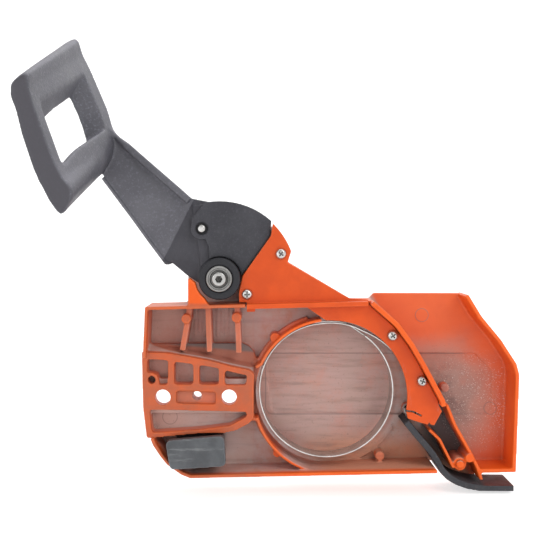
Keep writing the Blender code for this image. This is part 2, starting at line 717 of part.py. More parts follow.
def along_run(run, share):
    """Point at a share of the length of a run of points."""
    points = [Vector(p) for p in run]
    lengths = [(b - a).length for a, b in zip(points, points[1:])]
    left = share * sum(lengths)
    for start, end, length in zip(points, points[1:], lengths):
        if left <= length:
            return start + (end - start) * (left / length)
        left -= length
    return points[-1]


def paddle_side(far_run, near_run, stations, heights):
    """Grid of points on one side of the paddle, from its far end to its near end."""
    grid = []
    for station in stations:
        depth = ARM_FAR + (PADDLE_NEAR - ARM_FAR) * station
        row = []
        for height in heights:
            flat = along_run(far_run, height).lerp(along_run(near_run, height), station)
            row.append((flat.x, depth, flat.y))
        grid.append(row)
    return grid


def make_paddle():
    """Broad curved blade with one large window."""
    def keep(row, column):
        return not (1 <= row <= 3 and 2 <= column <= 4)

    rear = paddle_side(REAR_FAR, REAR_NEAR_SIDE, REAR_STATIONS, REAR_HEIGHTS)
    front = paddle_side(FRONT_FAR, FRONT_NEAR_SIDE, FRONT_STATIONS, FRONT_HEIGHTS)
    return plate_from_grid(rear, front, keep)


def sector_outline(radius, start, end):
    """Part of the guard round its pivot, which ends inside the housing."""
    return arc(PIVOT_X, PIVOT_Z, radius, start, end, 8) + [(45.4, 99.6), (27.2, 75.4)]


def make_hand_guard(parent):
    """Arm, hub and paddle in one moulding."""
    hub_bottom = arc(PIVOT_X, PIVOT_Z, HUB_RADIUS - 0.5, 0, -160, 10)
    web = [*ARM_OUTLINE_TOP, *sector_outline(SECTOR_RADIUS, 96, 47.5), *hub_bottom, *ARM_OUTLINE_LOWER]
    upper_flange = wall(ARM_OUTLINE_TOP[1:], 4.2, -1)
    lower_rim = wall(ARM_OUTLINE_LOWER[1:6], 1.8, 1)
    guard = prism(web, WEB_NEAR, WEB_FAR)
    sector = [(-3.0, 118.0), *sector_outline(SECTOR_RADIUS - 0.6, 92, 47.5), *hub_bottom, (2.0, 84.0)]
    join(
        guard,
        make_paddle(),
        prism(upper_flange, 5.0, ARM_FAR),
        prism(lower_rim, 7.0, ARM_FAR),
        prism(sector, SECTOR_NEAR, WEB_NEAR + 0.5),
        disc(PIVOT_X, PIVOT_Z, HUB_RADIUS, HUB_NEAR, HUB_FAR, 40),
    )
    knee_x, knee_z = knee_pin_place()
    slot = wall(((knee_x - 0.6, knee_z), (38.0, 85.8)), 2 * KNEE_PIN_RADIUS + 1.4)
    cut(
        guard,
        disc(PIVOT_X, PIVOT_Z, HUB_BORE, -5, 20),
        disc(PIVOT_X, PIVOT_Z, 8.5, -5, -0.5),
        prism(slot, 5, 15),
        disc(knee_x - 0.6, knee_z, KNEE_PIN_RADIUS + 0.7, 5, 15, 20),
        disc(RIVET_X, RIVET_Z, 2.3, 0, 20, 20),
    )
    return finish(guard, "hand_guard", guard_black(), (PIVOT_X, 0, PIVOT_Z), parent)


def make_guard_side_plate(parent):
    """Cover of the guard's knee side, held by one rivet and the hub."""
    outline = [
        *arc(PIVOT_X, PIVOT_Z, SECTOR_RADIUS + 0.4, 101, 48, 10), (45.8, 99.6), (29.0, 76.4),
        *arc(PIVOT_X, PIVOT_Z, HUB_RADIUS + 0.5, 8, 118, 8),
        (7.7, 92.5), *arc(RIVET_X, RIVET_Z, 6.8, 290, 160, 8), (-2.8, 110.4),
    ]
    plate = prism(outline, SIDE_PLATE_NEAR, SIDE_PLATE_FAR)
    cut(plate, disc(RIVET_X, RIVET_Z, 2.3, 0, 20, 20), disc(RIVET_X, RIVET_Z, 4.2, 0, 5.8, 24))
    return finish(plate, "guard_side_plate", guard_black(), (PIVOT_X, 0, PIVOT_Z), parent)


def make_guard_rivet(parent):
    """Rivet that holds the side plate on the guard."""
    rivet = pin(RIVET_X, RIVET_Z, [
        (0, 3.8), (2.2, 3.8), (2.75, 4.2), (2.75, 5.4), (1.9, 5.4),
        (1.9, 12.9), (2.9, 12.9), (2.9, 14.0), (0, 14.0),
    ], sides=20)
    return finish(rivet, "guard_rivet", steel(), (PIVOT_X, 0, PIVOT_Z), parent)


def make_guard_bushing(parent):
    """Plain bush pressed into the hub."""
    far = HUB_FAR - 0.2
    bushing = pin(PIVOT_X, PIVOT_Z, [(5.9, 0.2), (7.2, 0.2), (7.2, far), (5.9, far)])
    return finish(bushing, "guard_bushing", dark_steel(), (PIVOT_X, 0, PIVOT_Z), parent)


# ---------------------------------------------------------------- knee and rod

FRONT_LINK_NEAR, FRONT_LINK_FAR = 21.0, 23.4
REAR_LINK_NEAR, REAR_LINK_FAR = 18.2, 20.6


def link_outline(start, end, width):
    """Link with round ends."""
    first, last = Vector(start), Vector(end)
    along = last - first
    heading = math.degrees(math.atan2(along.y, along.x))
    half = width / 2
    first_end = arc(*start, half, heading + 90, heading + 270, 8)
    return first_end + arc(*end, half, heading - 90, heading + 90, 8)


def make_knee_links(front_parent, rear_parent):
    start = (KNEE_START_X, KNEE_START_Z)
    middle = knee_pin_place()
    end = rod_pin_place()
    front = prism(link_outline(start, middle, LINK_WIDTH), FRONT_LINK_NEAR, FRONT_LINK_FAR)
    cut(front, disc(*start, 2.0 + GAP, 10, 30, 20), disc(*middle, KNEE_PIN_RADIUS + GAP, 10, 30, 20))
    finish(front, "knee_link_front", dark_steel(), (start[0], 0, start[1]), front_parent)
    rear = prism(link_outline(middle, end, LINK_WIDTH), REAR_LINK_NEAR, REAR_LINK_FAR)
    cut(
        rear,
        disc(*middle, KNEE_PIN_RADIUS + GAP, 10, 30, 20),
        disc(*end, ROD_PIN_RADIUS + GAP, 10, 30, 20),
    )
    finish(rear, "knee_link_rear", dark_steel(), (middle[0], 0, middle[1]), rear_parent)


def make_knee_pins(front_parent, rear_parent):
    fixed = pin(KNEE_START_X, KNEE_START_Z, [
        (0, 19.4), (3.0, 19.4), (3.0, 20.7), (2.0, 20.7), (2.0, 28.3), (3.4, 28.3), (3.4, 29.4), (0, 29.4),
    ], sides=20)
    finish(fixed, "knee_fixed_pin", steel())
    x, z = knee_pin_place()
    knee = pin(x, z, [(0, 7.9), (KNEE_PIN_RADIUS, 7.9), (KNEE_PIN_RADIUS, 23.7), (0, 23.7)], sides=20)
    finish(knee, "knee_pin", steel(), (KNEE_START_X, 0, KNEE_START_Z), front_parent)
    x, z = rod_pin_place()
    rod_pin = pin(x, z, [(0, 15.4), (ROD_PIN_RADIUS, 15.4), (ROD_PIN_RADIUS, 22.9), (0, 22.9)], sides=20)
    place = knee_pin_place()
    finish(rod_pin, "knee_rod_pin", steel(), (place[0], 0, place[1]), rear_parent)


def make_brake_rod(parent):
    """Rod with a slotted head for the knee at one end and a fork for the band at the other."""
    axis = (math.cos(KNEE_SLOPE), 0, -math.sin(KNEE_SLOPE))
    start = knee_point(3.0)
    rod = turned((start[0], BAND_MIDDLE, start[1]), axis, [
        (0, 0), (ROD_RADIUS, 0), (ROD_RADIUS, FORK_START - 1.5), (0, FORK_START - 1.5),
    ], sides=20)
    head = prism(knee_block(-3.6, HEAD_END, 3.8), 9.5, 23.4)
    fork = prism(knee_block(FORK_START, FORK_END, 3.4), 8.0, 17.0)
    join(rod, head, fork)
    slot = link_outline(knee_point(-0.4), knee_point(1.9), 2 * (ROD_PIN_RADIUS + 0.35))
    cut(
        rod,
        prism(knee_block(-6, 4.9, 6), REAR_LINK_NEAR - 0.4, REAR_LINK_FAR + 0.4),
        prism(slot, 15.0, 26.0),
        prism(knee_block(FORK_START + 2.0, 50, 6), 9.8, 15.2),
        disc(*knee_point(FORK_PIN), 1.8, 5, 20, 20),
    )
    return finish(rod, "brake_rod", steel(), (knee_point(0)[0], 0, knee_point(0)[1]), parent)


def make_rod_details(parent):
    """Washer under the spring, and the pin that holds the band tail in the fork."""
    axis = (math.cos(KNEE_SLOPE), 0, -math.sin(KNEE_SLOPE))
    start = knee_point(HEAD_END + GAP)
    washer = turned((start[0], BAND_MIDDLE, start[1]), axis, [
        (ROD_RADIUS + GAP, 0), (5.6, 0), (5.6, 0.7), (ROD_RADIUS + GAP, 0.7),
    ], sides=28)
    place = (knee_point(0)[0], 0, knee_point(0)[1])
    finish(washer, "spring_washer", steel(), place, parent)
    x, z = knee_point(FORK_PIN)
    band_pin = pin(x, z, [(0, 7.2), (1.5, 7.2), (1.5, 17.8), (0, 17.8)], sides=20)
    finish(band_pin, "band_pin", steel(), place, parent)


def make_brake_spring():
    """Compression spring round the rod, between the washer and the seat."""
    axis = Vector((math.cos(KNEE_SLOPE), 0, -math.sin(KNEE_SLOPE)))
    side = Vector((math.sin(KNEE_SLOPE), 0, math.cos(KNEE_SLOPE)))
    other = Vector((0, 1, 0))
    start = knee_point(0)
    per_turn, sides = 12, 5
    count = int(SPRING_TURNS * per_turn)
    low, high = SPRING_START + SPRING_WIRE, SPRING_END - SPRING_WIRE
    shape = bmesh.new()
    rings = []
    for i in range(count + 1):
        angle = 2 * math.pi * i / per_turn
        outward = side * math.cos(angle) + other * math.sin(angle)
        rise = low + (high - low) * i / count
        middle = Vector((start[0], BAND_MIDDLE, start[1])) + axis * rise + outward * SPRING_RADIUS
        ring = []
        for k in range(sides):
            turn = 2 * math.pi * k / sides
            around = outward * math.cos(turn) + axis * math.sin(turn)
            ring.append(shape.verts.new((middle + around * SPRING_WIRE) * MM))
        rings.append(ring)
    for near_ring, far_ring in zip(rings, rings[1:]):
        for k in range(sides):
            after = (k + 1) % sides
            shape.faces.new([near_ring[k], near_ring[after], far_ring[after], far_ring[k]])
    shape.faces.new(rings[0])
    shape.faces.new(rings[-1])
    return finish(to_object(shape, "brake_spring"), "brake_spring", dark_steel())


# ---------------------------------------------------------------- band

def band_route():
    """Middle line of the band: loop on the fork pin, tail, ring, outer lap and loop on the anchor."""
    heading = -math.degrees(KNEE_SLOPE)
    touch = 90 + heading
    loop = arc(*knee_point(FORK_PIN), BAND_LOOP, heading - 110, heading - 270, 7)
    ring = arc(BAND_X, BAND_Z, BAND_RADIUS, touch, OUTER_LAP_START - 360, 42)
    first, last = Vector(loop[-1]), Vector(ring[0])
    tail = [tuple(first.lerp(last, share)) for share in (0.35, 0.7)]
    lap = []
    steps = 30
    for i in range(1, steps + 1):
        angle = OUTER_LAP_START + (OUTER_LAP_END - OUTER_LAP_START) * i / steps
        over_ring = min(max((95 - angle) / 33, 0), 1)
        to_anchor = max((touch - angle) / (touch - OUTER_LAP_END), 0) ** 1.2
        radius = BAND_RADIUS + 1.7 * over_ring + 14.9 * to_anchor
        turn = math.radians(angle)
        lap.append((BAND_X + radius * math.cos(turn), BAND_Z + radius * math.sin(turn)))
    hook = arc(ANCHOR_X, ANCHOR_Z, ANCHOR_LOOP, -12, -205, 8)
    return loop, tail, ring, lap + hook


def make_brake_band():
    """Steel band: narrow tail, full ring, and a fork whose two strips pass beside the tail."""
    loop, tail, ring, lap = band_route()
    route = loop + tail + ring + lap
    half, narrow, fork = BAND_WIDTH / 2, TAIL_WIDTH / 2, BAND_WIDTH / 2 - FORK_WIDTH
    depths = [BAND_MIDDLE + offset for offset in (-half, -fork, -narrow, narrow, fork, half)]
    tail_end = len(loop) + len(tail) + 1
    fork_start = len(loop) + len(tail) + len(ring) - 2

    def keep(row, column):
        if row < tail_end:
            return column == 2
        if row < fork_start:
            return True
        return column in (0, 4)

    outline = wall(route, BAND_THICKNESS)
    count = len(route)
    left = outline[:count]
    right = outline[count:][::-1]
    near_side = [[(x, depth, z) for depth in depths] for x, z in left]
    far_side = [[(x, depth, z) for depth in depths] for x, z in right]
    band = plate_from_grid(near_side, far_side, keep, "brake_band")
    return finish(band, "brake_band", band_steel())


def make_band_anchor_pin():
    """Pin in the cover that the two strips of the band's outer end hook on."""
    anchor = pin(ANCHOR_X, ANCHOR_Z, [
        (0, 4.8), (ANCHOR_RADIUS, 4.8), (ANCHOR_RADIUS, 24.4), (0, 24.4),
    ], sides=20)
    return finish(anchor, "band_anchor_pin", steel())


# ---------------------------------------------------------------- rubber and nylon pieces

def make_chip_deflector():
    """Bent rubber strip that throws the chips down, with a flat foot below the cover."""
    run = [
        (129.9, -15.8), (133.4, -20.1), (137.0, -24.5), (141.4, -29.5), (146.0, -35.0), (149.3, -40.3),
        (152.3, -45.9), (155.9, -49.6), (160.9, -52.6), (167.5, -55.0), (175.4, -56.4), (196.2, -56.6),
    ]
    strip = prism(wall(run, 3.8), 2.0, MAIN_FLOOR - GAP)
    return finish(strip, "chip_deflector", rubber())


def make_deflector_pin():
    """Painted pin in the boss beside the deflector."""
    peg = pin(*DEFLECTOR_PIN, [
        (0, 4.0), (1.9, 4.0), (2.5, 4.6), (2.5, 5.7), (1.5, 5.7), (1.5, 13.5), (0, 14.4),
    ], sides=20)
    return finish(peg, "deflector_pin", cast_orange())



GUIDE_NEAR = -9.0


def make_chain_guide():
    """Nylon block that keeps the chain off the cover, and its screw."""
    face = [(-17.9, -24.4, 3.0), (17.7, -21.4, 3.0), (19.0, -39.8, 3.0), (-14.9, -42.0, 3.0)]
    root = [(-13.0, -26.4), (16.6, -24.2), (17.2, -40.2), (-8.6, -41.6), (-13.2, -38.2)]
    block = prism(rounded(face, 4), GUIDE_NEAR, WALL_NEAR - GAP)
    join(block, prism(root, WALL_NEAR - 1, LEFT_FLOOR - GAP))
    cut(block, disc(*GUIDE_SCREW, 2.1, 0, 30, 20))
    finish(block, "chain_guide", grey_nylon())
    screw = pin(*GUIDE_SCREW, [
        (0, 1.0), (1.7, 1.0), (1.7, 24.3), (3.6, 24.3), (3.6, 26.0), (0, 26.0),
    ], sides=20)
    finish(screw, "chain_guide_screw", steel())


# ---------------------------------------------------------------- assembly

def main():
    for old in list(bpy.data.objects):
        bpy.data.objects.remove(old, do_unlink=True)
    knee_place = knee_pin_place()
    rod_place = rod_pin_place()
    guard_axis = joint_empty("guard_axis", (PIVOT_X, 0, PIVOT_Z))
    front_axis = joint_empty("knee_front_axis", (KNEE_START_X, 0, KNEE_START_Z))
    rear_axis = joint_empty("knee_rear_axis", (knee_place[0], 0, knee_place[1]), front_axis)
    rod_slide = joint_empty("rod_slide", (rod_place[0], 0, rod_place[1]))

    make_clutch_cover()
    make_brake_cover_plate()
    for number, (x, z) in enumerate(SCREW_PLACES, start=1):
        make_plate_screw(number, x, z)
    make_pivot_sleeve()
    make_pivot_screw()
    make_hand_guard(guard_axis)
    make_guard_side_plate(guard_axis)
    make_guard_rivet(guard_axis)
    make_guard_bushing(guard_axis)
    make_knee_links(front_axis, rear_axis)
    make_knee_pins(front_axis, rear_axis)
    make_brake_rod(rod_slide)
    make_rod_details(rod_slide)
    make_brake_spring()
    make_brake_band()
    make_band_anchor_pin()
    make_chip_deflector()
    make_deflector_pin()
    make_chain_guide()


main()
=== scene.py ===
"""Visual model of a chainsaw clutch cover with its chain brake and front hand guard.

Frame: +X to the rear of the saw, +Z up, +Y out of the saw. Lengths in this file are in
millimetres unless a name or a comment says otherwise, and MM turns them into metres.
"""
import math

import bmesh
import bpy
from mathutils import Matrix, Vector


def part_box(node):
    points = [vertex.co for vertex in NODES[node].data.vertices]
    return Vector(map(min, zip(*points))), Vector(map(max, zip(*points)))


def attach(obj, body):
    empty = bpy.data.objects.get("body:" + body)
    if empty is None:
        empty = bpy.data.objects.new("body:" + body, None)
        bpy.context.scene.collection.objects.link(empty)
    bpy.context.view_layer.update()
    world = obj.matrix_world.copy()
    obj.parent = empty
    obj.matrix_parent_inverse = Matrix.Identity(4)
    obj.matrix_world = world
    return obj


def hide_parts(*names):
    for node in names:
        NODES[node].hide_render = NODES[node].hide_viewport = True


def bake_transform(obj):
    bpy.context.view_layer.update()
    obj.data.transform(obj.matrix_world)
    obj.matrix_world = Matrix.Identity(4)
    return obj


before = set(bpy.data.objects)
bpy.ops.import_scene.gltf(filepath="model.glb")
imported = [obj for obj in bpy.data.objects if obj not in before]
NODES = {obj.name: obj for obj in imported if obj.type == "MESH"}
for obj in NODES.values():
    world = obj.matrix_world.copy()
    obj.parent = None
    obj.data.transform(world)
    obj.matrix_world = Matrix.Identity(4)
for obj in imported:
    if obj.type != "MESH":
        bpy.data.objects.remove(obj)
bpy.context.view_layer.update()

MM = 0.001

# middles in XZ of the drum space, the guard's pivot and the guard's rivet
DRUM_X, DRUM_Z = 83.3, 0.0
PIVOT_X, PIVOT_Z = 14.4, 73.0
RIVET_X, RIVET_Z = 3.2, 103.9


# ---------------------------------------------------------------- material nodes

class Look:
    """A material under construction, with short calls for the nodes it is built from."""

    def __init__(self, name):
        self.material = bpy.data.materials.new(name)
        self.material.use_nodes = True
        self.tree = self.material.node_tree
        self.shader = self.tree.nodes["Principled BSDF"]
        self.place = self.node("ShaderNodeTexCoord").outputs["Object"]

    def node(self, kind, **settings):
        made = self.tree.nodes.new(kind)
        for key, value in settings.items():
            setattr(made, key, value)
        return made

    def feed(self, socket, value):
        """Link an output, or set a number or a colour, on an input."""
        if isinstance(value, bpy.types.NodeSocket):
            self.tree.links.new(value, socket)
        elif isinstance(value, tuple) and len(value) == 3 and socket.type == "RGBA":
            socket.default_value = (*value, 1.0)
        else:
            socket.default_value = value

    def noise(self, scale, detail=4.0, roughness=0.55, stretch=None, shift=0.0):
        """Noise with its pattern in cycles per metre."""
        where = self.place
        if stretch or shift:
            mapping = self.node("ShaderNodeMapping")
            self.feed(mapping.inputs["Vector"], self.place)
            mapping.inputs["Scale"].default_value = stretch or (1, 1, 1)
            mapping.inputs["Location"].default_value = (shift, shift * 0.7, shift * 0.3)
            where = mapping.outputs["Vector"]
        made = self.node("ShaderNodeTexNoise")
        self.feed(made.inputs["Vector"], where)
        self.feed(made.inputs["Scale"], scale)
        self.feed(made.inputs["Detail"], detail)
        self.feed(made.inputs["Roughness"], roughness)
        return made.outputs["Fac"]

    def cells(self, scale):
        made = self.node("ShaderNodeTexVoronoi")
        self.feed(made.inputs["Vector"], self.place)
        self.feed(made.inputs["Scale"], scale)
        return made.outputs["Distance"]

    def step(self, value, low, high, start=0.0, end=1.0):
        """Smooth change from start to end while value goes from low to high."""
        made = self.node("ShaderNodeMapRange", interpolation_type="SMOOTHSTEP")
        for key, number in (("From Min", low), ("From Max", high), ("To Min", start), ("To Max", end)):
            self.feed(made.inputs[key], number)
        self.feed(made.inputs["Value"], value)
        return made.outputs["Result"]

    def maths(self, operation, first, second=0.0):
        made = self.node("ShaderNodeMath", operation=operation)
        self.feed(made.inputs[0], first)
        self.feed(made.inputs[1], second)
        return made.outputs[0]

    def blend(self, share, first, second):
        """Colour between first and second."""
        made = self.node("ShaderNodeMix", data_type="RGBA")
        self.feed(made.inputs[0], share)
        self.feed(made.inputs[6], first)
        self.feed(made.inputs[7], second)
        return made.outputs[2]

    def axis(self, name):
        """One coordinate of the surface point, in metres."""
        made = self.node("ShaderNodeSeparateXYZ")
        self.feed(made.inputs[0], self.place)
        return made.outputs[name]

    def spread(self, x, z):
        """Distance in metres from a line along Y through (x, z), given in mm."""
        across = self.maths("POWER", self.maths("SUBTRACT", self.axis("X"), x * MM), 2.0)
        up = self.maths("POWER", self.maths("SUBTRACT", self.axis("Z"), z * MM), 2.0)
        return self.maths("SQRT", self.maths("ADD", across, up))

    def past(self, x, z, degrees):
        """Signed distance in metres past a line through (x, z), on the side that degrees points to."""
        turn = math.radians(degrees)
        offset = (x * math.cos(turn) + z * math.sin(turn)) * MM
        across = self.maths("MULTIPLY", self.axis("X"), math.cos(turn))
        up = self.maths("MULTIPLY", self.axis("Z"), math.sin(turn))
        return self.maths("SUBTRACT", self.maths("ADD", across, up), offset)

    def panel(self, middle, half, radius):
        """Signed distance in metres from a rounded rectangle in XZ, given in mm."""
        outside = []
        for name, centre, reach in zip("XZ", middle, half):
            offset = self.maths("ABSOLUTE", self.maths("SUBTRACT", self.axis(name), centre * MM))
            past_edge = self.maths("SUBTRACT", offset, (reach - radius) * MM)
            outside.append(self.maths("MAXIMUM", past_edge, 0.0))
        squares = [self.maths("POWER", value, 2.0) for value in outside]
        return self.maths("SUBTRACT", self.maths("SQRT", self.maths("ADD", *squares)), radius * MM)

    def every(self, *shares):
        """Product of several shares."""
        result = shares[0]
        for share in shares[1:]:
            result = self.maths("MULTIPLY", result, share)
        return result

    def facing(self, name):
        """One component of the surface normal."""
        made = self.node("ShaderNodeSeparateXYZ")
        self.feed(made.inputs[0], self.node("ShaderNodeNewGeometry").outputs["Normal"])
        return made.outputs[name]

    def edges(self, low=0.5, high=0.58):
        """1 on convex edges, 0 on flats and in corners."""
        return self.step(self.node("ShaderNodeNewGeometry").outputs["Pointiness"], low, high)

    def crevice(self, reach, low=0.35, high=0.95):
        """1 deep in a corner, 0 in the open."""
        made = self.node("ShaderNodeAmbientOcclusion", samples=6)
        self.feed(made.inputs["Distance"], reach * MM)
        return self.step(made.outputs["AO"], low, high, 1.0, 0.0)

    def bumps(self, layers):
        """Relief from (height, depth in mm, strength) layers."""
        normal = None
        for height, depth, strength in layers:
            made = self.node("ShaderNodeBump")
            self.feed(made.inputs["Height"], height)
            self.feed(made.inputs["Distance"], depth * MM)
            self.feed(made.inputs["Strength"], strength)
            if normal:
                self.feed(made.inputs["Normal"], normal)
            normal = made.outputs["Normal"]
        self.feed(self.shader.inputs["Normal"], normal)

    def surface(self, colour, roughness, metallic=0.0):
        self.feed(self.shader.inputs["Base Color"], colour)
        self.feed(self.shader.inputs["Roughness"], roughness)
        self.feed(self.shader.inputs["Metallic"], metallic)
        return self.material


ORANGE = (0.74, 0.103, 0.009)
ORANGE_DEEP = (0.56, 0.058, 0.006)
ORANGE_WORN = (0.84, 0.190, 0.050)
ORANGE_DULL = (0.36, 0.100, 0.050)
DUST = (0.400, 0.300, 0.270)
DUST_PALE = (0.440, 0.300, 0.272)
DUST_GREY = (0.520, 0.460, 0.445)
DUST_WARM = (0.560, 0.285, 0.190)
DUST_POCKET = (0.560, 0.405, 0.365)
DUST_BACK = (0.370, 0.250, 0.215)
# colour of dust streaks, also used for painted shade lines along steps and rings
STREAK_AND_LINE_SHADE = (0.200, 0.150, 0.138)
# colour of dark smudges, also used for the painted shadow behind the step above the pad
SMUDGE_AND_SHADOW = (0.130, 0.110, 0.105)
GRIME_AND_SHADE = (0.060, 0.042, 0.038)
TROUGH_OIL_AND_SHADE = (0.100, 0.100, 0.105)
CHIP = (0.66, 0.58, 0.54)
NYLON_DUST = (0.210, 0.208, 0.258)
NYLON_DUST_ON_TOP = (0.215, 0.210, 0.250)
NYLON_DUST_ON_ARM = (0.20, 0.195, 0.215)
NYLON_RUBBED = (0.19, 0.19, 0.20)
NYLON_CREVICE_SHADE = (0.010, 0.010, 0.011)
NYLON_CLEAN_DARK = (0.032, 0.031, 0.038)
NYLON_CLEAN_PALE = (0.050, 0.049, 0.058)
NYLON_HUB = (0.016, 0.016, 0.019)
NYLON_BLADE_END_SHADE = (0.062, 0.059, 0.069)
RIVET_SEAT_SHADE = (0.006, 0.006, 0.007)
PLATE_DARK = (0.54, 0.062, 0.007)
PLATE_PALE = (0.64, 0.080, 0.009)
PLATE_CREVICE_SHADE = (0.20, 0.030, 0.008)
STEEL_DIRT_AND_SHADE = (0.020, 0.017, 0.015)
RUBBER_DARK = (0.020, 0.021, 0.026)
RUBBER_PALE = (0.046, 0.046, 0.052)
RUBBER_STAIN = (0.085, 0.017, 0.013)
GUIDE_DARK = (0.050, 0.054, 0.060)
GUIDE_PALE = (0.082, 0.088, 0.096)
GUIDE_SCORED = (0.27, 0.28, 0.28)
GUIDE_RUBBED = (0.24, 0.25, 0.26)
PAPER_DARK = (0.54, 0.54, 0.54)
PAPER_PALE = (0.56, 0.56, 0.56)


def cast_orange():
    """Painted casting: clean outside and on its edges, dusty on the inner floors, with painted shade in
    its corners, steps and hollows.
    """
    look = Look("cast_orange_paint")
    depth = look.axis("Y")
    along = look.axis("X")
    inward = look.step(look.facing("Y"), -0.15, 0.1, 1.0, 0.0)
    upward = look.facing("Z")
    patches = look.noise(34, 5, 0.6)
    clouds = look.noise(75, 6, 0.65, shift=2.0)
    speckle = look.noise(520, 3, 0.7)
    streaks = look.noise(260, 4, 0.65, stretch=(0.10, 1, 1))
    in_drum = look.step(look.spread(DRUM_X, DRUM_Z), 0.0465, 0.0435)

    # where dust lies: the deep floors, the pad's pockets and the bottom wall
    floor = look.step(depth, 0.009, 0.0225)
    pad_side = look.every(look.step(along, 0.0400, 0.0375), look.step(upward, 0.35, 0.75))
    floor = look.maths("SUBTRACT", floor, look.every(floor, pad_side, 0.75))
    pocket = look.every(look.step(depth, 0.0020, 0.0045), look.step(along, 0.0365, 0.0345))
    reach = look.every(look.maths("MAXIMUM", floor, pocket), inward)
    low_wall = look.every(
        look.step(upward, 0.3, 0.8), look.step(depth, -0.003, 0.004),
        look.step(look.axis("Z"), -0.030, -0.040), look.step(along, 0.175, 0.165), 0.85,
    )
    behind_wall = look.step(look.past(112.0, 62.4, 28.5), -0.003, 0.001)
    swirl = look.maths("ADD", look.spread(154.0, -8.0), look.maths("MULTIPLY", patches, 0.034))
    cleaner = look.every(look.step(swirl, 0.038, 0.070, 0.0, 0.86), behind_wall)
    speckled = look.maths("ADD", patches, look.maths("MULTIPLY", speckle, 0.25))
    uneven = look.step(speckled, 0.40, 0.70, 0.78, 1.0)
    where_it_lies = look.maths("MAXIMUM", reach, low_wall)
    dusty = look.every(where_it_lies, look.maths("SUBTRACT", 1.0, cleaner), uneven)

    # paint, dulled on the front part where the bar and chain throw oil
    paint = look.blend(look.step(look.noise(60, 3), 0.35, 0.7, 0.0, 0.30), ORANGE, ORANGE_DEEP)
    dull = look.every(look.step(along, 0.060, 0.030), look.step(clouds, 0.35, 0.65, 0.58, 0.88), inward)
    outside_of_saw = look.step(look.axis("Z"), 0.0590, 0.0570)
    paint = look.blend(look.every(dull, outside_of_saw), paint, ORANGE_DULL)
    paint = look.blend(look.maths("MULTIPLY", look.edges(0.505, 0.56), 0.30), paint, ORANGE_WORN)

    # dust: pinkish in the drum space, grey-brown elsewhere, warm where it is thin
    dust = look.blend(in_drum, DUST_GREY, DUST_PALE)
    dust = look.blend(look.step(clouds, 0.36, 0.68, 0.0, 0.5), dust, DUST)
    warm = look.every(look.step(clouds, 0.40, 0.68, 0.0, 0.45), look.step(in_drum, 0.0, 1.0, 1.0, 0.2))
    warm = look.maths("MAXIMUM", warm, look.every(look.step(along, 0.004, -0.018), 0.60))
    warm = look.maths("MAXIMUM", warm, look.every(low_wall, look.step(along, 0.060, 0.110), 0.9))
    low_floor = look.every(look.step(look.axis("Z"), -0.022, -0.040), look.step(along, 0.050, 0.095))
    dust = look.blend(look.maths("MAXIMUM", warm, low_floor), dust, DUST_WARM)
    dust = look.blend(look.maths("MULTIPLY", pocket, 0.6), dust, DUST_POCKET)
    dust = look.blend(behind_wall, dust, DUST_BACK)
    dust = look.blend(look.every(look.step(streaks, 0.42, 0.70, 0.0, 0.32), in_drum), dust, STREAK_AND_LINE_SHADE)
    dust = look.blend(look.step(streaks, 0.50, 0.72, 0.0, 0.25), dust, STREAK_AND_LINE_SHADE)
    smear = look.every(
        look.step(swirl, 0.052, 0.024), behind_wall, look.step(clouds, 0.40, 0.62, 0.25, 0.95)
    )
    dust = look.blend(look.maths("MULTIPLY", smear, 0.85), dust, SMUDGE_AND_SHADOW)
    colour = look.blend(look.maths("MULTIPLY", dusty, 0.96), paint, dust)

    # step above the pad: painted shadow behind, paint-coloured where it slopes up to the pad
    ledge_shadow = look.every(
        look.step(depth, 0.0165, 0.0155), look.step(depth, 0.0042, 0.0054),
        look.step(along, 0.0385, 0.0375), look.step(look.axis("Z"), 0.0322, 0.0318),
        look.step(look.past(7.8, 22.6, 78.3), 0.0, 0.0007),
        look.step(look.facing("Y"), 0.30, 0.45, 1.0, 0.0), look.step(along, -0.0300, -0.0270),
    )
    slope = look.step(look.past(7.5, 28.8, 84.6), 0.0008, -0.0012)
    ledge_shadow_colour = look.blend(slope, SMUDGE_AND_SHADOW, ORANGE_DULL)
    colour = look.blend(look.maths("MULTIPLY", ledge_shadow, 0.80), colour, ledge_shadow_colour)

    # line of the raised panel and rings round the bosses as painted shade lines, oily chip trough with
    # painted shade, dirt and painted shade in the corners, specks and chips
    # painted shade: a thin dark line along the raised panel's step
    panel = look.maths("ABSOLUTE", look.panel((116.0, 3.7), (73.0, 19.6), 5.0))
    panel = look.every(look.step(panel, 0.00055, 0.00015), look.step(depth, 0.024, 0.0255), inward)
    panel = look.every(panel, look.step(along, 0.176, 0.165))
    colour = look.blend(look.maths("MULTIPLY", panel, 0.60), colour, STREAK_AND_LINE_SHADE)
    # painted shade: thin dark rings at the edges of the round mould marks
    for x, z, radius in ((-17.2, -14.4, 4.6), (143.9, 48.1, 4.2), (188.3, -12.2, 3.9)):
        gap = look.maths("ABSOLUTE", look.maths("SUBTRACT", look.spread(x, z), radius * MM))
        ring_line_shade = look.step(gap, 0.00045, 0.00010)
        ring = look.every(ring_line_shade, look.step(depth, 0.0090, 0.0105), inward, 0.5)
        colour = look.blend(ring, colour, STREAK_AND_LINE_SHADE)
    # oily dirt in the chip trough, with painted shade of the cavity on top of it
    trough_oil_and_shade = look.every(
        look.step(look.spread(162.0, -28.0), 0.024, 0.010), floor, inward,
        look.step(look.past(160.5, -18.0, 27.0), 0.001, -0.002),
    )
    colour = look.blend(look.maths("MULTIPLY", trough_oil_and_shade, 0.9), colour, TROUGH_OIL_AND_SHADE)
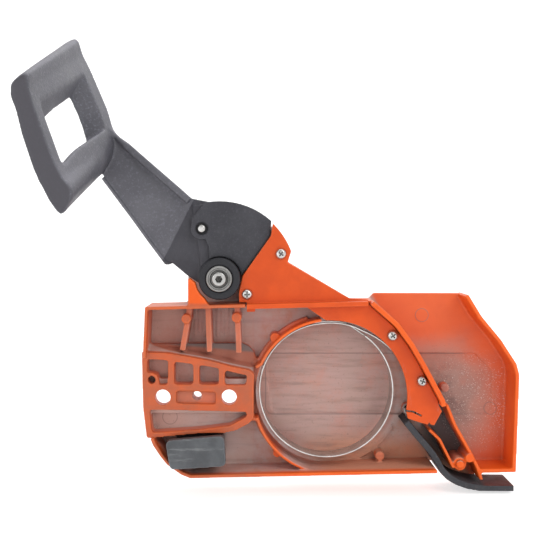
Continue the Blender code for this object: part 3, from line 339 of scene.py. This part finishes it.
    # dirt gathered in corners together with painted shade there, from ambient occlusion; line adds
    # painted shade along small steps
    dirt_and_shade = look.every(look.crevice(5.0, 0.20, 0.75), look.step(patches, 0.25, 0.6, 0.35, 0.70), inward)
    line = look.every(look.crevice(1.3, 0.45, 0.90), inward, look.step(depth, 0.004, 0.012, 0.15, 0.50))
    colour = look.blend(look.maths("MAXIMUM", dirt_and_shade, line), colour, GRIME_AND_SHADE)
    # specks of real grime, in the same dark colour
    specks = look.step(look.noise(900, 2, 0.5, shift=9.0), 0.64, 0.72, 0.0, 0.25)
    colour = look.blend(look.maths("MULTIPLY", specks, dusty), colour, GRIME_AND_SHADE)
    crumbs = look.maths("ADD", look.noise(1300, 3, 0.6, shift=4.0), look.maths("MULTIPLY", clouds, 0.22))
    chips = look.every(
        look.step(crumbs, 0.715, 0.765), look.step(look.spread(176.0, -8.0), 0.040, 0.016),
        floor, inward, behind_wall,
    )
    colour = look.blend(look.maths("MULTIPLY", chips, 0.7), colour, CHIP)
    roughness = look.step(dusty, 0.0, 1.0, 0.42, 0.90)
    look.bumps([(look.noise(1500, 3), 0.05, 0.35), (clouds, 0.12, 0.25), (streaks, 0.05, 0.2)])
    look.shader.inputs["Specular IOR Level"].default_value = 0.22
    look.shader.inputs["Coat Weight"].default_value = 0.05
    look.shader.inputs["Coat Roughness"].default_value = 0.3
    return look.surface(colour, roughness)


def plate_orange():
    """Moulded cover plate: even orange, slightly scuffed, with painted shade in its corners and beside
    the screws.
    """
    look = Look("plate_orange_moulding")
    patches = look.noise(45, 5, 0.6)
    colour = look.blend(look.step(patches, 0.35, 0.7), PLATE_DARK, PLATE_PALE)
    colour = look.blend(look.maths("MULTIPLY", look.edges(), 0.4), colour, ORANGE_WORN)
    scuffs = look.step(look.noise(240, 5, 0.75, stretch=(1, 1, 0.18)), 0.60, 0.75, 0.0, 0.30)
    colour = look.blend(scuffs, colour, DUST_PALE)
    # painted shade in corners and next to the screw heads
    colour = look.blend(look.maths("MULTIPLY", look.crevice(3.0), 0.30), colour, PLATE_CREVICE_SHADE)
    roughness = look.step(patches, 0.3, 0.7, 0.36, 0.52)
    look.bumps([(look.noise(1400, 3), 0.04, 0.3), (look.noise(180, 3), 0.10, 0.15)])
    look.shader.inputs["Specular IOR Level"].default_value = 0.25
    return look.surface(colour, roughness)


def moulded_black(name, tone, dust_share):
    """Grained nylon with dust on its upward faces, rubbed, paler edges and painted shade in its crevices.
    """
    look = Look(name)
    dark = tuple(channel * tone for channel in (0.88, 0.87, 1.04))
    pale = tuple(channel * tone * 1.7 for channel in (0.94, 0.93, 1.05))
    patches = look.noise(38, 6, 0.65)
    fine = look.noise(620, 4, 0.75, shift=5.0)
    colour = look.blend(look.step(patches, 0.35, 0.70, 0.0, 0.55), dark, pale)
    colour = look.blend(look.step(fine, 0.50, 0.70, 0.0, dust_share), colour, NYLON_DUST)
    up = look.every(look.step(look.facing("Z"), 0.2, 0.9, 0.0, dust_share), look.step(patches, 0.3, 0.6))
    colour = look.blend(up, colour, NYLON_DUST_ON_TOP)
    colour = look.blend(look.maths("MULTIPLY", look.edges(0.51, 0.60), 0.30), colour, NYLON_RUBBED)
    # painted shade in the crevices
    colour = look.blend(look.maths("MULTIPLY", look.crevice(4.0), 0.32), colour, NYLON_CREVICE_SHADE)
    return look, colour, patches


def finish_black(look, colour, patches, grain, extra=()):
    roughness = look.step(patches, 0.3, 0.7, 0.42, 0.60)
    look.bumps([(look.cells(900), 0.11 * grain, 0.8), (look.noise(2200, 3), 0.03 * grain, 0.5), *extra])
    look.shader.inputs["Specular IOR Level"].default_value = 0.28
    return look.surface(colour, roughness)


def guard_black():
    """Guard moulding: pale and dusty on the blade and the arm, darker and cleaner round its pivot."""
    look, colour, patches = moulded_black("guard_black_nylon", 0.070, 0.42)
    arm = look.every(
        look.step(look.axis("Y"), -0.006, 0.006), look.step(look.facing("Y"), -0.5, -0.9), 0.22
    )
    colour = look.blend(arm, colour, NYLON_DUST_ON_ARM)
    root = look.past(-10.7, 105.0, -27.0)
    from_pivot = look.spread(PIVOT_X, PIVOT_Z)
    past_root = look.step(root, -0.0002, 0.0004)
    inner = look.maths("MAXIMUM", past_root, look.step(from_pivot, 0.0165, 0.0150))
    deep = look.blend(look.step(patches, 0.3, 0.7), NYLON_CLEAN_DARK, NYLON_CLEAN_PALE)
    colour = look.blend(look.maths("MULTIPLY", inner, 0.88), colour, deep)
    hub = look.step(look.spread(PIVOT_X, PIVOT_Z), 0.0142, 0.0132)
    colour = look.blend(look.maths("MULTIPLY", hub, 0.85), colour, NYLON_HUB)
    # painted shade: the blade's near end face is made darker by its facing
    blade_end_shade = look.every(
        look.step(look.facing("Y"), -0.70, -0.92), look.step(look.axis("Y"), -0.060, -0.075)
    )
    colour = look.blend(look.maths("MULTIPLY", blade_end_shade, 0.92), colour, NYLON_BLADE_END_SHADE)
    return finish_black(look, colour, patches, 1.0, [(look.step(root, -0.0004, 0.0004), 0.5, 0.6)])


def hub_black():
    look, colour, patches = moulded_black("side_plate_black_nylon", 0.042, 0.10)
    # painted shade in the hole round the rivet head
    seat_shade = look.step(look.spread(RIVET_X, RIVET_Z), 0.0039, 0.0036)
    colour = look.blend(look.maths("MULTIPLY", seat_shade, 0.9), colour, RIVET_SEAT_SHADE)
    return finish_black(look, colour, patches, 0.6)


def bare_steel(name, tone, roughness_low, roughness_high, brush=(1, 1, 1), reach=2.2):
    """Plated or rolled steel with a directional finish, dulled in patches, and darkened in its recesses
    with dirt and painted shade.
    """
    look = Look(name)
    streaks = look.noise(900, 4, 0.7, stretch=brush)
    patches = look.noise(120, 5, 0.6)
    base = tuple(channel * tone for channel in (1.0, 0.985, 0.96))
    worn = tuple(channel * tone * 0.62 for channel in (1.0, 0.96, 0.90))
    colour = look.blend(look.step(patches, 0.38, 0.72, 0.0, 0.7), base, worn)
    # dirt and painted shade in recesses, such as a screw's socket
    dirt_and_shade = look.crevice(reach, 0.30, 0.92)
    colour = look.blend(look.maths("MULTIPLY", dirt_and_shade, 0.92), colour, STEEL_DIRT_AND_SHADE)
    roughness = look.step(streaks, 0.3, 0.7, roughness_low, roughness_high)
    look.bumps([(streaks, 0.012, 0.35), (patches, 0.02, 0.2)])
    return look.surface(colour, roughness, 1.0)


def rubber():
    """Moulded rubber, matte, with pale dust rubbed into it."""
    look = Look("deflector_rubber")
    patches = look.noise(70, 6, 0.7)
    colour = look.blend(look.step(patches, 0.35, 0.7), RUBBER_DARK, RUBBER_PALE)
    colour = look.blend(look.step(look.noise(500, 4, 0.7), 0.55, 0.75, 0.0, 0.22), colour, DUST)
    stain = look.every(look.step(look.axis("X"), 0.176, 0.180), look.step(look.facing("Z"), 0.5, 0.9))
    colour = look.blend(look.maths("MULTIPLY", stain, 0.95), colour, RUBBER_STAIN)
    look.bumps([(look.noise(1300, 4), 0.08, 0.5), (patches, 0.15, 0.2)])
    return look.surface(colour, look.step(patches, 0.3, 0.7, 0.62, 0.85))


def grey_nylon():
    """Grey guide block, scored along the way the chain runs."""
    look = Look("guide_nylon")
    patches = look.noise(80, 5, 0.6)
    scores = look.noise(420, 5, 0.7, stretch=(0.08, 1, 1))
    colour = look.blend(look.step(patches, 0.35, 0.7), GUIDE_DARK, GUIDE_PALE)
    colour = look.blend(look.step(scores, 0.56, 0.72, 0.0, 0.45), colour, GUIDE_SCORED)
    colour = look.blend(look.maths("MULTIPLY", look.edges(), 0.4), colour, GUIDE_RUBBED)
    look.bumps([(scores, 0.08, 0.45), (look.noise(1500, 3), 0.03, 0.3)])
    return look.surface(colour, look.step(scores, 0.4, 0.7, 0.38, 0.6))


LOOKS = {
    "cast_orange": cast_orange(),
    "plate_orange": plate_orange(),
    "guard_black": guard_black(),
    "hub_black": hub_black(),
    "steel": bare_steel("plated_steel", 0.62, 0.22, 0.42),
    "flange_steel": bare_steel("pivot_screw_steel", 0.46, 0.25, 0.45, reach=3.6),
    "sleeve_steel": bare_steel("worn_flange_steel", 0.30, 0.28, 0.48),
    "dark_steel": bare_steel("oiled_steel", 0.20, 0.30, 0.55),
    "band_steel": bare_steel("band_steel_strip", 0.66, 0.25, 0.45, brush=(0.1, 1, 0.1)),
    "rubber": rubber(),
    "grey_nylon": grey_nylon(),
}


# ---------------------------------------------------------------- shapes

def new_object(mesh_data, name):
    mesh = bpy.data.meshes.new(name)
    mesh_data.to_mesh(mesh)
    mesh_data.free()
    made = bpy.data.objects.new(name, mesh)
    bpy.context.scene.collection.objects.link(made)
    return made


def apply_modifiers(piece):
    """Keep the evaluated shape as the piece's own mesh."""
    evaluated = piece.evaluated_get(bpy.context.evaluated_depsgraph_get())
    mesh = bpy.data.meshes.new_from_object(evaluated)
    piece.modifiers.clear()
    piece.data = mesh
    mesh.name = piece.name


def settle(piece, nodes, body, slot, look=None):
    """Give a piece its look and its body, and hide the CAD nodes it stands in for."""
    piece.data.materials.clear()
    piece.data.materials.append(LOOKS[look or slot])
    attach(piece, body)
    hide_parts(*nodes)


def circle(x, z, radius, sides):
    turn = 2 * math.pi / sides
    return [(x + radius * math.cos(turn * i), z + radius * math.sin(turn * i)) for i in range(sides)]


def add_prism(shape, outline, near, far):
    """Add a closed prism with the given XZ outline to a bmesh."""
    near_ring = [shape.verts.new((x * MM, near * MM, z * MM)) for x, z in outline]
    far_ring = [shape.verts.new((x * MM, far * MM, z * MM)) for x, z in outline]
    shape.faces.new(near_ring)
    shape.faces.new(far_ring[::-1])
    for i in range(len(outline)):
        after = (i + 1) % len(outline)
        shape.faces.new([near_ring[after], near_ring[i], far_ring[i], far_ring[after]])


def ridge(points, width):
    """Outline of a straight-sided strip along a run of points."""
    run = [Vector(p) for p in points]
    left, right = [], []
    for i, point in enumerate(run):
        along = (run[min(i + 1, len(run) - 1)] - run[max(i - 1, 0)]).normalized()
        across = Vector((-along.y, along.x)) * width / 2
        left.append(tuple(point + across))
        right.append(tuple(point - across))
    return left + right[::-1]


def recast(node, name, voxel, rounding, extras=(), change=None):
    """Copy of a CAD node with softened edges, as it leaves a mould, and with extra raised detail."""
    shape = bmesh.new()
    shape.from_mesh(NODES[node].data)
    bmesh.ops.remove_doubles(shape, verts=shape.verts, dist=0.001 * MM)
    if change:
        change(shape)
    for outline, near, far in extras:
        add_prism(shape, outline, near, far)
    bmesh.ops.recalc_face_normals(shape, faces=shape.faces)
    piece = new_object(shape, name)
    skin = piece.modifiers.new("skin", "REMESH")
    skin.mode = "VOXEL"
    skin.voxel_size = voxel * MM
    soften = piece.modifiers.new("soften", "SMOOTH")
    soften.factor = 0.5
    soften.iterations = rounding
    apply_modifiers(piece)
    piece.data.shade_smooth()
    return piece


def turned(x, z, profile, name, sides=64):
    """Solid of revolution about the line along Y through (x, z): profile is (radius, depth)."""
    shape = bmesh.new()
    rings = []
    for radius, depth in profile:
        if radius == 0:
            rings.append([shape.verts.new((x * MM, depth * MM, z * MM))])
            continue
        rings.append([
            shape.verts.new((px * MM, depth * MM, pz * MM)) for px, pz in circle(x, z, radius, sides)
        ])
    if profile[0][0] != 0:
        rings.append(rings[0])
    for low, high in zip(rings, rings[1:]):
        for i in range(sides):
            corners = [
                low[i % len(low)], low[(i + 1) % len(low)],
                high[(i + 1) % len(high)], high[i % len(high)],
            ]
            shape.faces.new(list(dict.fromkeys(corners)))
    bmesh.ops.recalc_face_normals(shape, faces=shape.faces)
    return new_object(shape, name)


def carve(piece, outlines, near, far):
    """Cut prisms with the given outlines out of a piece."""
    for outline in outlines:
        shape = bmesh.new()
        add_prism(shape, outline, near, far)
        bmesh.ops.recalc_face_normals(shape, faces=shape.faces)
        tool = new_object(shape, "tool")
        step = piece.modifiers.new("carve", "BOOLEAN")
        step.solver = "EXACT"
        step.operation = "DIFFERENCE"
        step.object = tool
        apply_modifiers(piece)
        bpy.data.objects.remove(tool)


def round_edges(piece, width, segments=3):
    """Small bevel on the sharp edges, and smooth shading."""
    bevel = piece.modifiers.new("edges", "BEVEL")
    bevel.width = width * MM
    bevel.segments = segments
    bevel.limit_method = "ANGLE"
    bevel.angle_limit = math.radians(32)
    apply_modifiers(piece)
    piece.data.shade_smooth()
    piece.data.set_sharp_from_angle(angle=math.radians(40))


def middle_of(node):
    low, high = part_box(node)
    return [(a + b) / 2 / MM for a, b in zip(low, high)]


# ---------------------------------------------------------------- cast and moulded pieces

def cover_detail():
    """Raised marks of the mould on the cover's floors."""
    marks = []
    for x, z, radius, near, far in (
        (143.9, 48.1, 4.2, 25.5, 27.0), (188.3, -12.2, 3.9, 27.0, 28.4), (126.0, -36.0, 3.2, 25.5, 27.0),
        (92.0, 52.0, 3.0, 25.4, 27.0),
    ):
        marks.append((circle(x, z, radius, 32), near, far))
    pad_edge = (
        (-30.0, 27.0), (-16.9, 26.4), (-5.2, 24.4), (8.1, 22.0), (22.2, 18.2), (32.4, 16.2), (35.0, 14.4),
    )
    for i in range(7):
        marks.append((ridge(pad_edge, 1.8 + 0.85 * i), 1.2 + 1.9 * i, 21.0))
    for x in (-1.6, 1.1, 3.8, 12.4, 15.3, 18.2):
        marks.append((ridge(((x, 35.4), (x + 0.4, 53.6)), 1.3), 19.3, 20.8))
    return marks


def make_cover():
    piece = recast("clutch_cover", "clutch_cover_casting", 0.62, 3, cover_detail())
    settle(piece, ["clutch_cover"], "cover", "cast_orange")


def make_plate():
    piece = recast("brake_cover_plate", "brake_cover_plate_moulding", 0.36, 2)
    settle(piece, ["brake_cover_plate"], "cover", "plate_orange")


BLADE_FAR, BLADE_NEAR = 14.0, -90.0
CORNER_ROUNDING = 3.6
# corner lines of the blade: x, z at its far and near end, and how far the corner goes out at each
BLADE_CORNERS = (
    ((-76.9, 222.5), (-79.4, 182.6), (1.7, 3.6), (1.2, 1.6)),
    ((-85.2, 217.5), (-86.6, 174.0), (-1.9, 1.8), (-2.2, 0.8)),
    ((-52.5, 151.0), (-55.5, 122.5), (0.0, 0.0), (1.6, -0.8)),
    ((-59.8, 138.5), (-60.2, 110.9), (0.0, -0.6), (-0.6, -3.0)),
)
# corners of the blade's window: place, and how far each goes out in x and z
WINDOW_CORNERS = (
    ((-63.4, -80.6, 139.5), (0.9, -2.9)),
    ((-69.8, -57.8, 139.6), (0.3, -1.9)),
    ((-78.3, -57.8, 163.3), (-0.2, -1.5)),
    ((-74.6, -12.0, 181.3), (-0.6, -0.5)),
)
# box round the window's thin edges, and how sharp and how rounded they are
WINDOW_BOX = ((-82.5, -60.0, 125.0), (-56.0, -9.5, 205.0))
THIN_EDGE_TURN = math.radians(110)
THIN_EDGE_ROUNDING = 1.6
# corners of the arm beside the blade, at every depth: place, and how far each goes in
ARM_CORNERS = (
    ((-50.8, 168.5), (-1.6, -2.8)),
    ((-48.2, 163.8), (-1.2, -1.8)),
)
# where the arm meets the blade
ARM_ROOT = Vector((-50.0, 10.0, 164.0))


def corner_line(corner, y):
    """Point of a blade's corner line at a depth y, and how far the corner goes out there."""
    far, near, far_shift, near_shift = corner
    share = (BLADE_FAR - y) / (BLADE_FAR - BLADE_NEAR)
    return Vector(far).lerp(Vector(near), share), Vector(far_shift).lerp(Vector(near_shift), share)


def bevel_edges(shape, edges, width, segments):
    bmesh.ops.bevel(
        shape, geom=edges, offset=width * MM, offset_type="OFFSET", segments=segments, profile=0.5,
        affect="EDGES", clamp_overlap=False,
    )


def carry_corners(shape):
    """Round the blade's corners, moved out first so that they end up in place, and thin window edges."""
    on_line = {}
    for vertex in shape.verts:
        place = vertex.co / MM
        for number, corner in enumerate(BLADE_CORNERS):
            middle, shift = corner_line(corner, place.y)
            if (Vector((place.x, place.z)) - middle).length < 0.8:
                vertex.co += Vector((shift.x, 0.0, shift.y)) * MM
                on_line[vertex] = number
        for corner, shift in WINDOW_CORNERS:
            if (place - Vector(corner)).length < 1.0:
                vertex.co += Vector((shift[0], 0.0, shift[1])) * MM
        for corner, shift in ARM_CORNERS:
            if (Vector((place.x, place.z)) - Vector(corner)).length < 0.6:
                vertex.co += Vector((shift[0], 0.0, shift[1])) * MM
    long_edges = []
    for edge in shape.edges:
        first, second = (on_line.get(vertex) for vertex in edge.verts)
        if first is not None and first == second and edge.calc_length() > 2.0 * MM:
            long_edges.append(edge)
    bevel_edges(shape, long_edges, CORNER_ROUNDING, 4)
    low, high = WINDOW_BOX
    thin_edges = []
    for edge in shape.edges:
        inside = all(low[i] < (vertex.co / MM)[i] < high[i] for vertex in edge.verts for i in range(3))
        if inside and edge.is_manifold and edge.calc_face_angle() > THIN_EDGE_TURN:
            thin_edges.append(edge)
    bevel_edges(shape, thin_edges, THIN_EDGE_ROUNDING, 2)


def smooth_by_weight(piece, weigh, turns):
    """Smooth a piece where weigh, called with a place in mm, gives more than 0."""
    group = piece.vertex_groups.new(name="weights")
    for vertex in piece.data.vertices:
        weight = weigh(vertex.co / MM)
        if weight > 0:
            group.add([vertex.index], min(weight, 1.0), "REPLACE")
    soften = piece.modifiers.new("soften", "SMOOTH")
    soften.factor = 0.5
    soften.iterations = turns
    soften.vertex_group = group.name
    apply_modifiers(piece)
    piece.vertex_groups.clear()


def blade_weight(place):
    """1 on the blade, fading to 0 where the arm begins."""
    reach = min(max((4.0 - place.y) / 12.0, 0.0), 1.0) if place.z > 105.0 else 0.0
    return max(reach, min(max((place.z - 150.0) / 15.0, 0.0), 1.0))


def corner_weight(place):
    """1 within 3 mm of a corner line of the blade, and 0 from 10 mm away."""
    if place.z < 105.0 or place.x > -50.0:
        return 0.0
    flat = Vector((place.x, place.z))
    near = min((flat - corner_line(corner, place.y)[0]).length for corner in BLADE_CORNERS)
    return blade_weight(place) * (10.0 - near) / 7.0


def arm_root_weight(place):
    """1 within 7 mm of the arm's root, and 0 from 13 mm away."""
    return (13.0 - (place - ARM_ROOT).length) / 6.0


def make_guard():
    piece = recast("hand_guard", "hand_guard_moulding", 0.75, 3, change=carry_corners)
    smooth_by_weight(piece, blade_weight, 24)
    smooth_by_weight(piece, corner_weight, 30)
    smooth_by_weight(piece, arm_root_weight, 50)
    piece.data.shade_smooth()
    settle(piece, ["hand_guard"], "guard", "guard_black")


def make_side_plate():
    piece = recast("guard_side_plate", "guard_side_plate_moulding", 0.4, 2)
    x, _, z = middle_of("guard_rivet")
    carve(piece, [circle(x, z, 3.7, 48)], 3.0, 6.1)
    settle(piece, ["guard_side_plate"], "guard", "guard_black", "hub_black")


def make_deflector():
    piece = recast("chip_deflector", "chip_deflector_rubber", 0.5, 3)
    settle(piece, ["chip_deflector"], "cover", "rubber")


def make_guide():
    piece = recast("chain_guide", "chain_guide_block", 0.5, 4)
    settle(piece, ["chain_guide"], "cover", "grey_nylon")


# ---------------------------------------------------------------- screws, pivot and rivet

def make_plate_screws():
    """Pan heads with a cross recess."""
    for number in range(1, 5):
        node = f"plate_screw_{number}"
        x, _, z = middle_of(node)
        low, high = (corner[1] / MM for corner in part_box(node))
        screw = turned(x, z, [
            (0, low), (1.6, low + 0.05), (2.5, low + 0.4), (3.0, low + 1.0), (3.15, low + 1.6),
            (3.15, low + 2.2), (1.9, low + 2.2), (1.9, high - 1.7), (0, high),
        ], f"plate_screw_{number}_head")
        turn = math.radians(20 + 35 * number)
        slots = []
        for angle in (turn, turn + math.pi / 2):
            along = Vector((math.cos(angle), math.sin(angle)))
            slots.append(ridge((Vector((x, z)) - along * 1.75, Vector((x, z)) + along * 1.75), 0.85))
        carve(screw, slots, low - 1, low + 1.3)
        round_edges(screw, 0.12, 2)
        settle(screw, [node], "cover", "steel")


def make_pivot():
    x, _, z = middle_of("pivot_screw")
    screw = turned(x, z, [
        (0, -4.9), (3.5, -4.9), (4.0, -4.7), (4.3, -4.2),
        (4.3, -2.9), (2.4, -2.9), (2.4, 26.5), (0, 26.5),
    ], "pivot_screw_socket", 72)
    carve(screw, [circle(x, z, 2.3, 6)], -6, 1.6)
    round_edges(screw, 0.15)
    settle(screw, ["pivot_screw"], "cover", "steel", "flange_steel")
    sleeve = turned(x, z, [
        (2.8, -1.9), (5.3, -1.9), (5.7, -2.6), (6.1, -2.6), (6.3, -2.3), (6.6, -2.3), (6.8, -2.6),
        (7.6, -2.6), (8.0, -2.25), (8.0, -1.1), (5.6, -1.1), (5.6, 17.4), (2.8, 17.4),
    ], "pivot_sleeve_flange", 72)
    round_edges(sleeve, 0.08, 2)
    settle(sleeve, ["pivot_sleeve"], "cover", "steel", "sleeve_steel")


def make_rivet():
    x, _, z = middle_of("guard_rivet")
    rivet = turned(x, z, [
        (0, 3.8), (1.4, 3.85), (2.05, 4.05), (2.3, 4.4), (2.3, 5.9), (1.9, 5.9),
        (1.9, 12.9), (2.9, 12.9), (2.9, 14.0), (0, 14.0),
    ], "guard_rivet_head", 40)
    round_edges(rivet, 0.15)
    settle(rivet, ["guard_rivet"], "guard", "steel")


def make_deflector_pin():
    x, _, z = middle_of("deflector_pin")
    peg = turned(x, z, [
        (0, 4.0), (1.3, 4.05), (2.1, 4.3), (2.5, 4.8), (2.5, 5.7), (1.5, 5.7), (1.5, 13.5), (0, 14.4),
    ], "deflector_pin_head", 48)
    round_edges(peg, 0.12, 2)
    settle(peg, ["deflector_pin"], "cover", "cast_orange")


# ---------------------------------------------------------------- band and spring

# direction of the rod from the band to the rod pin, and the direction square to it
SLIDE = Vector((-0.86733, 0.0, 0.49773))
ACROSS_ROD = Vector((0.49773, 0.0, 0.86733))
ROD_PIN = Vector((38.172, 12.5, 76.714))
SPRING_ENDS = (7.9, 24.9)


def make_band():
    """Steel strip copied from the CAD band, with its edges rounded."""
    shape = bmesh.new()
    shape.from_mesh(NODES["brake_band"].data)
    bmesh.ops.remove_doubles(shape, verts=shape.verts, dist=0.001 * MM)
    piece = new_object(shape, "brake_band_strip")
    round_edges(piece, 0.15, 2)
    piece.data.materials.clear()
    piece.data.materials.append(LOOKS["band_steel"])
    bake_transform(piece)
    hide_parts("brake_band")


def make_spring():
    """Round-wire compression spring with closed ends."""
    turns, per_turn, sides = 7.0, 40, 10
    radius, wire = 4.75, 0.62
    low, high = SPRING_ENDS
    depth_way = Vector((0.0, 1.0, 0.0))
    axis = -SLIDE
    count = int(turns * per_turn)
    shape = bmesh.new()
    rings = []
    for i in range(count + 1):
        turn = i / per_turn
        share = min(max((turn - 0.8) / (turns - 1.6), 0.0), 1.0)
        end_rise = wire * 1.1
        rise = low + wire + end_rise * min(turn / 0.8, 1.0)
        rise += (high - low - 2 * wire - 2 * end_rise) * share
        rise += end_rise * min(max((turn - turns + 0.8) / 0.8, 0.0), 1.0)
        angle = 2 * math.pi * turn
        outward = ACROSS_ROD * math.cos(angle) + depth_way * math.sin(angle)
        middle = ROD_PIN + axis * rise + outward * radius
        ring = []
        for k in range(sides):
            around = 2 * math.pi * k / sides
            offset = (outward * math.cos(around) + axis * math.sin(around)) * wire
            ring.append(shape.verts.new((middle + offset) * MM))
        rings.append(ring)
    for first, second in zip(rings, rings[1:]):
        for k in range(sides):
            after = (k + 1) % sides
            shape.faces.new([first[k], first[after], second[after], second[k]])
    shape.faces.new(rings[0])
    shape.faces.new(rings[-1])
    bmesh.ops.recalc_face_normals(shape, faces=shape.faces)
    piece = new_object(shape, "brake_spring_coil")
    piece.data.shade_smooth()
    piece.data.materials.append(LOOKS["dark_steel"])
    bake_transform(piece)
    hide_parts("brake_spring")


# ---------------------------------------------------------------- pieces kept from the CAD

KEPT = {
    "guard_bushing": "dark_steel",
    "knee_link_front": "dark_steel",
    "knee_link_rear": "dark_steel",
    "knee_pin": "steel",
    "knee_rod_pin": "steel",
    "knee_fixed_pin": "steel",
    "brake_rod": "steel",
    "spring_washer": "steel",
    "band_pin": "steel",
    "band_anchor_pin": "steel",
    "chain_guide_screw": "steel",
}


def dress_kept_nodes():
    for node, look in KEPT.items():
        piece = NODES[node]
        piece.data.materials.clear()
        piece.data.materials.append(LOOKS[look])
        bevel = piece.modifiers.new("edges", "BEVEL")
        bevel.width = 0.15 * MM
        bevel.segments = 2
        bevel.limit_method = "ANGLE"
        bevel.angle_limit = math.radians(40)


# ---------------------------------------------------------------- stage, light and camera

FLOOR_HEIGHT = -60.0
BACKDROP_PLACE, BACKDROP_HEIGHT, FLOOR_HALF_WIDTH = 900.0, 3200.0, 2500.0
SURROUND_RADIUS, SURROUND_HEIGHT, SURROUND_SIDES = 2600.0, 1100.0, 64
BEND_RADIUS = 350.0


def bend_up(wall_place, steps):
    """Points of the curve from the floor up into a wall, after its first point on the floor."""
    points = []
    for i in range(1, steps + 1):
        angle = math.pi / 2 * i / steps
        out = wall_place - BEND_RADIUS + BEND_RADIUS * math.sin(angle)
        points.append((out, FLOOR_HEIGHT + BEND_RADIUS * (1 - math.cos(angle))))
    return points


def set_up(shape, name, material):
    made = new_object(shape, name)
    made.data.shade_smooth()
    made.data.materials.append(material)


def make_stage():
    """Pale floor that curves up into a pale backdrop, and a low pale wall all round it."""
    look = Look("studio_paper")
    look.bumps([(look.noise(400, 3), 0.02, 0.1)])
    material = look.surface(look.blend(look.noise(6, 2), PAPER_DARK, PAPER_PALE), 0.9)
    look.shader.inputs["Emission Color"].default_value = (1.0, 1.0, 1.0, 1.0)
    look.shader.inputs["Emission Strength"].default_value = 0.62

    profile = [(-SURROUND_RADIUS, FLOOR_HEIGHT), (BACKDROP_PLACE - BEND_RADIUS, FLOOR_HEIGHT)]
    profile += bend_up(BACKDROP_PLACE, 16) + [(BACKDROP_PLACE, BACKDROP_HEIGHT)]
    shape = bmesh.new()
    left, right = (
        [shape.verts.new((x * MM, y * MM, z * MM)) for y, z in profile]
        for x in (-FLOOR_HALF_WIDTH, FLOOR_HALF_WIDTH)
    )
    for i in range(len(profile) - 1):
        shape.faces.new([left[i], right[i], right[i + 1], left[i + 1]])
    set_up(shape, "studio_backdrop", material)

    rings = [(SURROUND_RADIUS - BEND_RADIUS, FLOOR_HEIGHT)]
    rings += bend_up(SURROUND_RADIUS, 8) + [(SURROUND_RADIUS, SURROUND_HEIGHT)]
    shape = bmesh.new()
    loops = []
    for radius, z in rings:
        outline = circle(0.0, 0.0, radius, SURROUND_SIDES)
        loops.append([shape.verts.new((x * MM, y * MM, z * MM)) for x, y in outline])
    for inner, outer in zip(loops, loops[1:]):
        for i in range(SURROUND_SIDES):
            after = (i + 1) % SURROUND_SIDES
            shape.faces.new([inner[i], outer[i], outer[after], inner[after]])
    set_up(shape, "studio_surround", material)


def area_light(name, place, target, size, power):
    light = bpy.data.lights.new(name, "AREA")
    light.shape = "RECTANGLE"
    light.size, light.size_y = size
    light.energy = power
    made = bpy.data.objects.new(name, light)
    made.location = place
    made.rotation_euler = (Vector(target) - Vector(place)).to_track_quat("-Z", "Y").to_euler()
    bpy.context.scene.collection.objects.link(made)


def make_lights():
    middle = (0.05, 0.0, 0.05)
    area_light("key_softbox", (0.85, -0.95, 1.00), middle, (0.8, 0.8), 8.2)
    area_light("fill_softbox", (-1.05, -1.00, 0.55), middle, (1.0, 1.0), 4.2)
    area_light("top_softbox", (0.0, 0.05, 1.3), middle, (1.2, 0.8), 5.8)
    area_light("back_softbox", (0.2, 0.75, 0.9), middle, (1.2, 0.8), 4.4)
    world = bpy.data.worlds.new("studio")
    world.use_nodes = True
    world.node_tree.nodes["Background"].inputs["Color"].default_value = (1.0, 1.0, 1.0, 1.0)
    world.node_tree.nodes["Background"].inputs["Strength"].default_value = 0.40
    bpy.context.scene.world = world
    bpy.context.scene.view_settings.view_transform = "Standard"


CAMERA_PLACE = (41.3, -504.0, 101.8)
FRAME_PIXELS = 533.0
FOCAL_PIXELS = 819.7
CENTRE_PIXELS = (263.0, 232.0)


def make_camera():
    lens = bpy.data.cameras.new("camera")
    lens.sensor_width = 36.0
    lens.lens = FOCAL_PIXELS / FRAME_PIXELS * lens.sensor_width
    lens.shift_x = (FRAME_PIXELS / 2 - CENTRE_PIXELS[0]) / FRAME_PIXELS
    lens.shift_y = (CENTRE_PIXELS[1] - FRAME_PIXELS / 2) / FRAME_PIXELS
    lens.clip_start = 0.01
    camera = bpy.data.objects.new("camera", lens)
    camera.location = [value * MM for value in CAMERA_PLACE]
    camera.rotation_euler = (math.pi / 2, 0, 0)
    bpy.context.scene.collection.objects.link(camera)
    bpy.context.scene.camera = camera


# ---------------------------------------------------------------- scene

make_camera()
make_cover()
make_plate()
make_guard()
make_side_plate()
make_deflector()
make_guide()
make_plate_screws()
make_pivot()
make_rivet()
make_deflector_pin()
make_band()
make_spring()
dress_kept_nodes()
make_stage()
make_lights()
